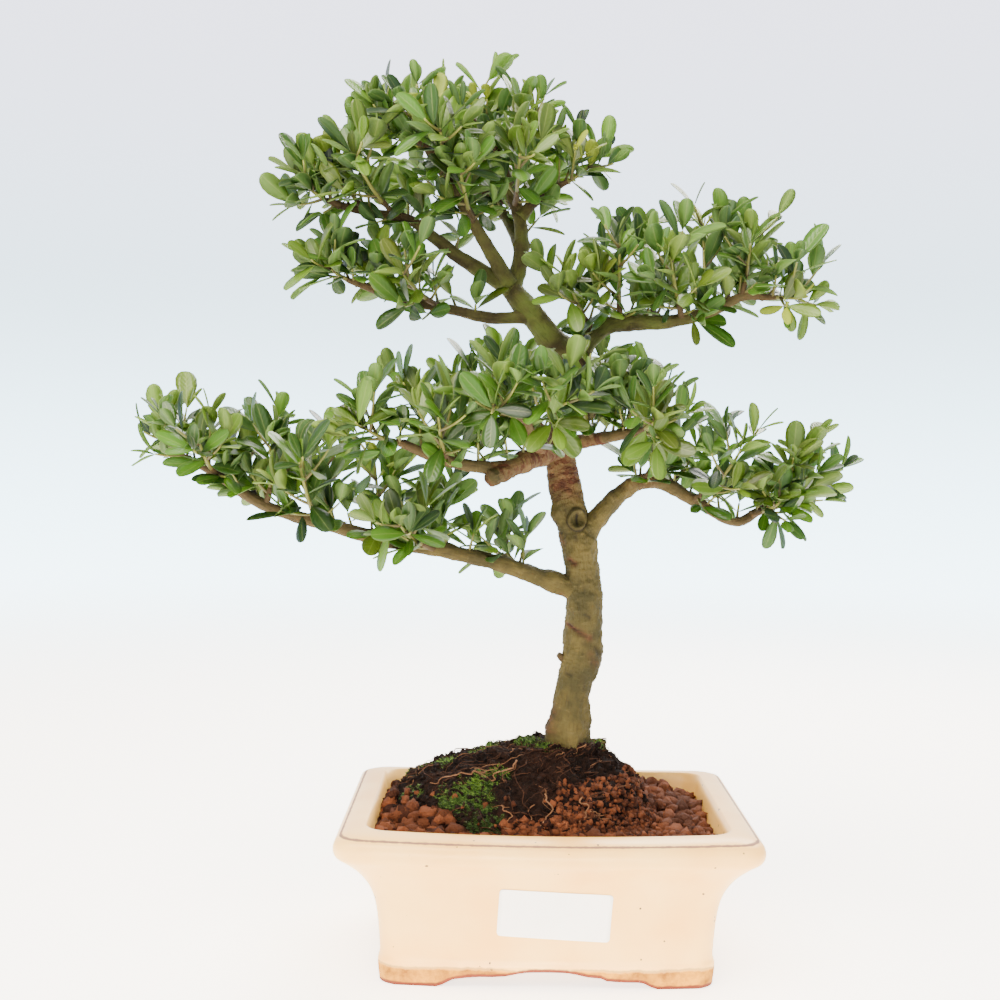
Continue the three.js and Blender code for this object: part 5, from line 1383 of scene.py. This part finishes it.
# %% Leaf finish
blade, tree, output = new_finish("leathery_leaf_blade")
tint = add(tree, "ShaderNodeAttribute", attribute_name="tint").outputs["Fac"]
young = add(tree, "ShaderNodeAttribute", attribute_name="young").outputs["Fac"]
upper = add(tree, "ShaderNodeAttribute", attribute_name="upper").outputs["Fac"]
across = add(tree, "ShaderNodeAttribute", attribute_name="across").outputs["Fac"]
along = add(tree, "ShaderNodeAttribute", attribute_name="along").outputs["Fac"]
sideways = add(tree, "ShaderNodeMath", {0: across}, operation="ABSOLUTE")
top_green = add(tree, "ShaderNodeMix", {0: tint, 6: linear("#0b1d0c"), 7: linear("#4c7423")},
                data_type="RGBA")
low_green = add(tree, "ShaderNodeMix", {0: tint, 6: linear("#3d5a2a"), 7: linear("#67853c")},
                data_type="RGBA")
green = add(tree, "ShaderNodeMix", {0: upper, 6: low_green.outputs[2], 7: top_green.outputs[2]},
            data_type="RGBA")
rib = add(tree, "ShaderNodeMapRange", {0: sideways.outputs[0], 1: 0.08, 2: 0.02, 3: 0.0, 4: 0.38})
margin = add(tree, "ShaderNodeMapRange", {0: sideways.outputs[0], 1: 0.9, 2: 0.98, 3: 0.0, 4: 0.5})
pale_lines = add(tree, "ShaderNodeMath", {0: rib.outputs[0], 1: margin.outputs[0]}, operation="MAXIMUM")
lined = add(tree, "ShaderNodeMix", {0: pale_lines.outputs[0], 6: green.outputs[2], 7: linear("#a0aa60")},
            data_type="RGBA")
fresh = add(tree, "ShaderNodeMix", {0: young, 6: lined.outputs[2], 7: linear("#a8b43a")}, data_type="RGBA")
vein_place = add(tree, "ShaderNodeMath", {0: sideways.outputs[0], 1: -0.25, 2: along},
                 operation="MULTIPLY_ADD")
vein_turn = add(tree, "ShaderNodeMath", {0: vein_place.outputs[0], 1: 50.0}, operation="MULTIPLY")
vein = add(tree, "ShaderNodeMath", {0: vein_turn.outputs[0]}, operation="SINE")
vein_bump = add(tree, "ShaderNodeBump", {"Height": vein.outputs[0], "Strength": 0.15, "Distance": 0.3 * MM})
dull = add(tree, "ShaderNodeMapRange", {0: upper, 3: 0.65, 4: 0.36})
surface = add(tree, "ShaderNodeBsdfPrincipled",
              {"Base Color": fresh.outputs[2], "Roughness": dull.outputs[0], "IOR": 1.45,
               "Specular IOR Level": 0.62, "Normal": vein_bump.outputs[0]})

# %% Light through the blade
GLOW_SHARE = 0.38
glow_green = add(tree, "ShaderNodeMix", {0: tint, 6: linear("#5f8a18"), 7: linear("#9cc03c")},
                 data_type="RGBA")
glow_colour = add(tree, "ShaderNodeMix", {0: young, 6: glow_green.outputs[2], 7: linear("#cccc50")},
                  data_type="RGBA")
glow = add(tree, "ShaderNodeBsdfTranslucent", {"Color": glow_colour.outputs[2]})
leaf_shader = add(tree, "ShaderNodeMixShader", {0: GLOW_SHARE, 1: surface.outputs[0], 2: glow.outputs[0]})
tree.links.new(leaf_shader.outputs[0], output.inputs["Surface"])

# %% Shoot finish
shoot_skin, tree, output = new_finish("green_shoot_skin")
tint = add(tree, "ShaderNodeAttribute", attribute_name="tint").outputs["Fac"]
shoot_colour = add(tree, "ShaderNodeMix", {0: tint, 6: linear("#46391c"), 7: linear("#7a8030")},
                   data_type="RGBA")
skin = add(tree, "ShaderNodeBsdfPrincipled", {"Base Color": shoot_colour.outputs[2], "Roughness": 0.6})
tree.links.new(skin.outputs[0], output.inputs["Surface"])

# %% [markdown]
# ## How a shoot grows
#
# Leaves stand round a shoot a golden angle apart, so that no leaf shades the one below. Each shoot here has a
# few nodes with two leaves each and one leaf at its end; each node of the middle shoot also sends out a side
# shoot. Leaves near the tip stand up, and lower ones lie flatter and turn their upper side to the light. The
# CAD solids have the first leaves of the same rule, so that these leaves grow out of the same places.

# %% Leaf template
STATIONS = np.array([0.09, 0.2, 0.38, 0.58, 0.77, 0.91, 0.975])
ACROSS = np.array([-1, -0.5, 0, 0.5, 1])
THICK = 0.45
STALK, WIDEST = 0.07, 0.4015


def half_width(share):
    """Half the blade's width as a share of it, with a narrow foot and a round tip: s^0.9 times (1 - s)^0.5,
    divided by its largest value, where s runs from the end of the stalk to the tip."""
    s = np.clip((share - STALK) / (1 - STALK), 0, 1)
    return 0.5 * s ** 0.9 * (1 - s) ** 0.5 / WIDEST


leaf_share = np.concatenate([[0, 1], np.repeat(STATIONS, 6)])
leaf_across = np.concatenate([[0, 0], np.tile([*ACROSS, 0], len(STATIONS))])
leaf_under = np.concatenate([[0, 0], np.tile([0, 0, 0, 0, 0, 1], len(STATIONS))])
LEAF_POINTS = len(leaf_share)


def station(i, j):
    """The number of the j-th point of the i-th station: five on top from left to right, then the keel."""
    return 2 + 6 * i + j


leaf_quads, leaf_triangles = [], []
for i in range(len(STATIONS) - 1):
    leaf_quads += [[station(i, j), station(i + 1, j), station(i + 1, j + 1), station(i, j + 1)]
                   for j in range(4)]
    leaf_quads += [[station(i, 0), station(i, 5), station(i + 1, 5), station(i + 1, 0)],
                   [station(i, 5), station(i, 4), station(i + 1, 4), station(i + 1, 5)]]
last = len(STATIONS) - 1
leaf_triangles += [[0, station(0, j), station(0, j + 1)] for j in range(4)]
leaf_triangles += [[station(last, j), 1, station(last, j + 1)] for j in range(4)]
leaf_triangles += [[0, station(0, 5), station(0, 0)], [0, station(0, 4), station(0, 5)],
                   [station(last, 0), station(last, 5), 1], [station(last, 5), station(last, 4), 1]]
leaf_quads, leaf_triangles = np.array(leaf_quads), np.array(leaf_triangles)
quad_upper = np.tile([1, 1, 1, 1, 0, 0], len(STATIONS) - 1).astype(float)
triangle_upper = np.array([1] * 8 + [0] * 4, float)


# %% Shoots and leaves
GOLDEN_ANGLE = 137.5
MAIN_NODES, SIDE_NODES = np.array([0.42, 0.58, 0.74, 0.9]), np.array([0.35, 0.65, 0.92])
INNER_NODES = np.array([0.5, 0.92])
LEAN = {"tip": 38, "below": 38, "spread": 16, "end": 10}
RISE, ROLL_OVER = 0.18, 0.6
SHORTEST, LONGEST, SLENDER, ARCH_DOWN = 13, 22, 0.44, 0.06
YOUNGEST, GROWS = 0.72, 0.14
SIDE_LENGTH, SIDE_SHORTER, SIDE_TURN = 20, 1.5, 1.8 * GOLDEN_ANGLE
MAIN, FIRST_INNER = 0, 5
UP = np.array([0.0, 0, 1])


def square_to(axis):
    """Two directions square to each axis."""
    reference = np.where(np.abs(axis[:, 2:]) > 0.9, np.array([[1.0, 0, 0]]), UP)
    first = unit(np.cross(axis, reference))
    return first, unit(np.cross(axis, first))


def turned(first, second, degrees):
    """A direction square to the shoot at an angle round it."""
    angle = np.radians(degrees)[:, None]
    return first * np.cos(angle) + second * np.sin(angle)


def grow_shoot(curve, nodes, spray, number):
    """The nodes of a shoot: their points, directions and turns."""
    point, axis = bezier(*curve, nodes)
    first, second = square_to(axis)
    turn = 360 * draw(spray, number, 11) + 2 * GOLDEN_ANGLE * np.arange(len(nodes))
    return {"curve": curve, "point": point, "axis": axis, "first": first, "second": second, "turn": turn,
            "number": number, "spray": spray}


def side_curve(main, order):
    """The path of the side shoot at a node: away from the node's leaves, and rising a little."""
    number = order + 1
    pick = slice(order, order + 1)
    away = turned(main["first"][pick], main["second"][pick], main["turn"][pick] + SIDE_TURN)
    out = unit(0.5 * main["axis"][pick] + 0.8 * away + 0.15 * UP)[0]
    length = (SIDE_LENGTH - SIDE_SHORTER * number) * (0.85 + 0.3 * draw(main["spray"], number, 6))
    start = main["point"][order]
    return start, start + 0.55 * length * out, start + length * out + 0.22 * length * UP


def inner_curve(curve, spray, number):
    """The path of a short old shoot on the woody part of a spray, which leaves it in any direction."""
    point, axis = bezier(*curve, [0.1 + 0.14 * (number - FIRST_INNER)])
    first, second = square_to(axis)
    away = turned(first, second, np.array([360 * draw(spray, number, 7)]))
    out = unit(0.5 * axis + away + 0.1 * UP)[0]
    length = 8 + 7 * draw(spray, number, 8)
    return point[0], point[0] + 0.5 * length * out, point[0] + length * out + 0.2 * length * UP


def shoot_leaves(shoot):
    """The leaves of a shoot as arrays: foot, direction, upper side, length, width, and order from the tip."""
    last = len(shoot["point"]) - 1
    k = np.arange(2 * last + 3)
    node = last - np.maximum(k - 1, 0) // 2
    side = np.where(k == 0, 0, (k + 1) % 2)
    axis = shoot["axis"][node]
    radial = turned(shoot["first"][node], shoot["second"][node], shoot["turn"][node] + GOLDEN_ANGLE * side)
    spray, number = shoot["spray"], shoot["number"]
    spread = LEAN["spread"] * (draw(spray, number, 20 + k) - 0.5)
    age = (last - node) / last
    lean = np.radians(np.where(k == 0, LEAN["end"], LEAN["tip"] + LEAN["below"] * age + spread))[:, None]
    along = unit(axis * np.cos(lean) + radial * np.sin(lean) + RISE * UP)
    is_end = (k == 0)[:, None]
    upper = np.where(is_end, 0.2 * UP - radial, 0.8 * axis + 0.6 * UP)
    upper = upper + ROLL_OVER * (draw(spray, number, 40 + k) - 0.5)[:, None] * np.cross(along, UP)
    upper = unit(upper - (upper * along).sum(-1, keepdims=True) * along)
    grown = np.minimum(1, YOUNGEST + GROWS * k)
    length = grown * (SHORTEST + (LONGEST - SHORTEST) * draw(spray, number, 60 + k))
    width = length * SLENDER * (0.9 + 0.2 * draw(spray, number, 80 + k))
    return {"foot": shoot["point"][node], "along": along, "upper": upper, "length": length, "width": width,
            "order": k, "number": np.full(len(k), number)}


def leaf_mesh(leaves, spray):
    """All blades of a spray: the template's share runs along the leaf, its across runs sideways, and the lift
    is a downward arch plus a shallow fold along the midrib, different on each leaf."""
    length, width = leaves["length"][:, None], leaves["width"][:, None]
    order, number = leaves["order"], leaves["number"]
    fold = 0.04 + 0.18 * draw(spray, number, 100 + order)[:, None]
    curl = 0.1 * (draw(spray, number, 120 + order)[:, None] - 0.4)
    swerve = 0.12 * (draw(spray, number, 140 + order)[:, None] - 0.5)
    side = leaf_across * half_width(leaf_share) * width
    lift = -(ARCH_DOWN + curl) * length * leaf_share ** 2 + fold * np.abs(side) ** 1.25 - THICK * leaf_under
    side = side + swerve * length * leaf_share ** 2
    across = np.cross(leaves["upper"], leaves["along"])
    points = (leaves["foot"][:, None] + leaves["along"][:, None] * (length * leaf_share)[..., None]
              + across[:, None] * side[..., None] + leaves["upper"][:, None] * lift[..., None])
    return points.reshape(-1, 3)


# %% Shoots and blades as one mesh
STEM_RINGS, STEM_SIDES = 11, 6
MAIN_STEM = {"from": 0.3, "to": 0.94, "foot": 1.15, "end": 0.55}
SIDE_STEM = {"from": 0, "to": 0.92, "foot": 0.8, "end": 0.45}


def leafy_mesh(shoots, leaves, number, freshness):
    """The stems of some shoots and the blades of some leaves: points, faces and values for make_piece."""
    stems = Parts()
    for shoot in shoots:
        stem = MAIN_STEM if shoot["number"] == MAIN else SIDE_STEM
        share = np.linspace(stem["from"], stem["to"], STEM_RINGS)
        path, _ = bezier(*shoot["curve"], share)
        thick = np.linspace(stem["foot"], stem["end"], STEM_RINGS)
        tint = np.append(np.repeat(share, STEM_SIDES), share[[0, -1]])
        stems.add(*tube(path, thick, STEM_SIDES), tint=tint)
    stem_points, (stem_quads, stem_caps), stem_values = stems.result()
    points = leaf_mesh(leaves, number)
    count = len(leaves["order"])
    shift = LEAF_POINTS * np.arange(count)[:, None, None] + len(stem_points)
    quads = (leaf_quads + shift).reshape(-1, 4)
    triangles = (leaf_triangles + shift).reshape(-1, 3)
    pad = np.zeros(len(stem_points))
    tints = draw(number, leaves["number"], 160 + leaves["order"])
    values = {
        "tint": np.concatenate([stem_values["tint"], np.repeat(tints, LEAF_POINTS)]),
        "young": np.concatenate([pad, np.repeat(freshness, LEAF_POINTS)]),
        "across": np.concatenate([pad, np.tile(leaf_across, count)]),
        "along": np.concatenate([pad, np.tile(leaf_share, count)]),
        "upper": np.concatenate([np.ones(4 * len(stem_quads) + 3 * len(stem_caps)),
                                 np.repeat(np.tile(quad_upper, count), 4),
                                 np.repeat(np.tile(triangle_upper, count), 3)]),
    }
    return np.vstack([stem_points, points]), [[stem_quads, stem_caps], [quads, triangles]], values


def all_leaves(shoots):
    """The leaves of several shoots as one set of arrays."""
    groups = [shoot_leaves(shoot) for shoot in shoots]
    return {key: np.concatenate([group[key] for group in groups]) for key in groups[0]}


# %% [markdown]
# A shoot is left out where it would end outside its CAD spray's box and a little room, and so is a leaf whose
# tip would. A few sprays have fresh, yellow-green and smaller leaves at their tips, as on the photo.

# %% Grow all sprays
SHOOT_ROOM, LEAF_ROOM = 4.0, 8.0
FRESH_SPRAYS = {5: 1.0, 8: 0.9, 12: 1.0, 23: 0.9, 26: 1.0, 2: 0.5, 45: 0.5}
FRESH_ELSEWHERE, FRESH_SHOOT = 0.1, 0.14
leaf_total = 0
for number, (name, row) in enumerate(spray_list, start=1):
    curve = spray_curve(*row)
    low, high = ((np.array(corner) - FOOT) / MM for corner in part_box(name))
    low, high = np.minimum(low, curve[0]) - SHOOT_ROOM, np.maximum(high, curve[0]) + SHOOT_ROOM
    main = grow_shoot(curve, MAIN_NODES, number, MAIN)
    side_shoots = [grow_shoot(side_curve(main, order), SIDE_NODES, number, order + 1)
                   for order in range(len(MAIN_NODES))]
    side_shoots += [grow_shoot(inner_curve(curve, number, inner), INNER_NODES, number, inner)
                    for inner in (FIRST_INNER, FIRST_INNER + 1)]
    shoots = [main] + [shoot for shoot in side_shoots
                       if ((shoot["curve"][2] > low) & (shoot["curve"][2] < high)).all()]
    leaves = all_leaves(shoots)
    freshness = FRESH_SPRAYS.get(number, FRESH_ELSEWHERE) * np.clip(1.1 - 0.25 * leaves["order"], 0, 1)
    fresh_shoot = FRESH_SHOOT * (draw(number, leaves["number"], 180) > 0.7)
    freshness = freshness * (leaves["number"] < 2) + fresh_shoot
    freshness = freshness * (leaves["number"] < FIRST_INNER)
    shrink = 1 - 1.1 * np.clip(freshness - 0.4, 0, 0.6)
    leaves["length"] = leaves["length"] * shrink
    leaves["width"] = leaves["width"] * shrink
    tip = leaves["foot"] + leaves["along"] * leaves["length"][:, None]
    near = ((tip > low + SHOOT_ROOM - LEAF_ROOM) & (tip < high - SHOOT_ROOM + LEAF_ROOM)).all(1)
    leaves = {key: values[near] for key, values in leaves.items()}
    leaf_total += len(leaves["order"])
    points, faces, values = leafy_mesh(shoots, leaves, number, freshness[near])
    make_piece(name + "_leafy", points, faces, [shoot_skin, blade], [name], values)
print("leaves of the sprays:", leaf_total)

# %% [markdown]
# ## Short shoots on the limbs
#
# Holly also sprouts along its older limbs: short shoots with a few leaves each. They fill the pads from below
# and hide the limbs' outer halves. They stand at even steps along each limb, a golden angle apart and turned
# upwards, and four more stand where the photo shows them.

# %% Short shoots
SPROUT_STEP, SPROUT_FROM = 9.0, 0.34
SPROUT_SEED, EXTRA_SEED = 100, 99
BARE_LIMBS = ("trunk", "leader")
EXTRA_SPROUTS = [
    ("right_up", 3.5, (3, -7, -2)), ("left", 4.2, (4, -12, 4)), ("right_low", 2.6, (-3, -4, 14)),
    ("left", 2.6, (3, -6, 12)),
]
sprouts = []
for limb_number, (name, rows) in enumerate(LIMBS.items()):
    if name in BARE_LIMBS:
        continue
    path = smooth_path(rows, 6)
    length = length_along(path[:, :3])
    at = np.arange(SPROUT_FROM * length[-1], length[-1] - 2, SPROUT_STEP)
    place = np.stack([np.interp(at, length, path[:, column]) for column in range(4)], -1)
    along = unit(np.gradient(place[:, :3], axis=0))
    first, second = square_to(along)
    k = np.arange(len(at))
    away = turned(first, second, GOLDEN_ANGLE * k + 50 * limb_number)
    away[:, 2] = np.abs(away[:, 2])
    out = unit(away + 0.35 * along + 0.5 * UP)
    size = (place[:, 3] + 4 + 8 * draw(limb_number, k, 4))[:, None]
    start = place[:, :3]
    ends = start + size * out + 0.15 * size * UP
    sprouts += [grow_shoot((a, a + 0.5 * (b - a), b), INNER_NODES, SPROUT_SEED + limb_number, i)
                for i, (a, b) in enumerate(zip(start, ends), start=1)]
for i, (name, place, offset) in enumerate(EXTRA_SPROUTS, start=1):
    start = on_limb(name, place)
    end = start + np.array(offset, float)
    sprouts.append(grow_shoot((start, start + 0.5 * (end - start), end), SIDE_NODES, EXTRA_SEED, i))
leaves = all_leaves(sprouts)
freshness = 0.2 * (draw(leaves["number"], leaves["order"], 9) > 0.8)
points, faces, values = leafy_mesh(sprouts, leaves, EXTRA_SEED, freshness)
make_piece("sprout_leaves", points, faces, [shoot_skin, blade], attributes=values)
print("leaves of the short shoots:", len(leaves["order"]))
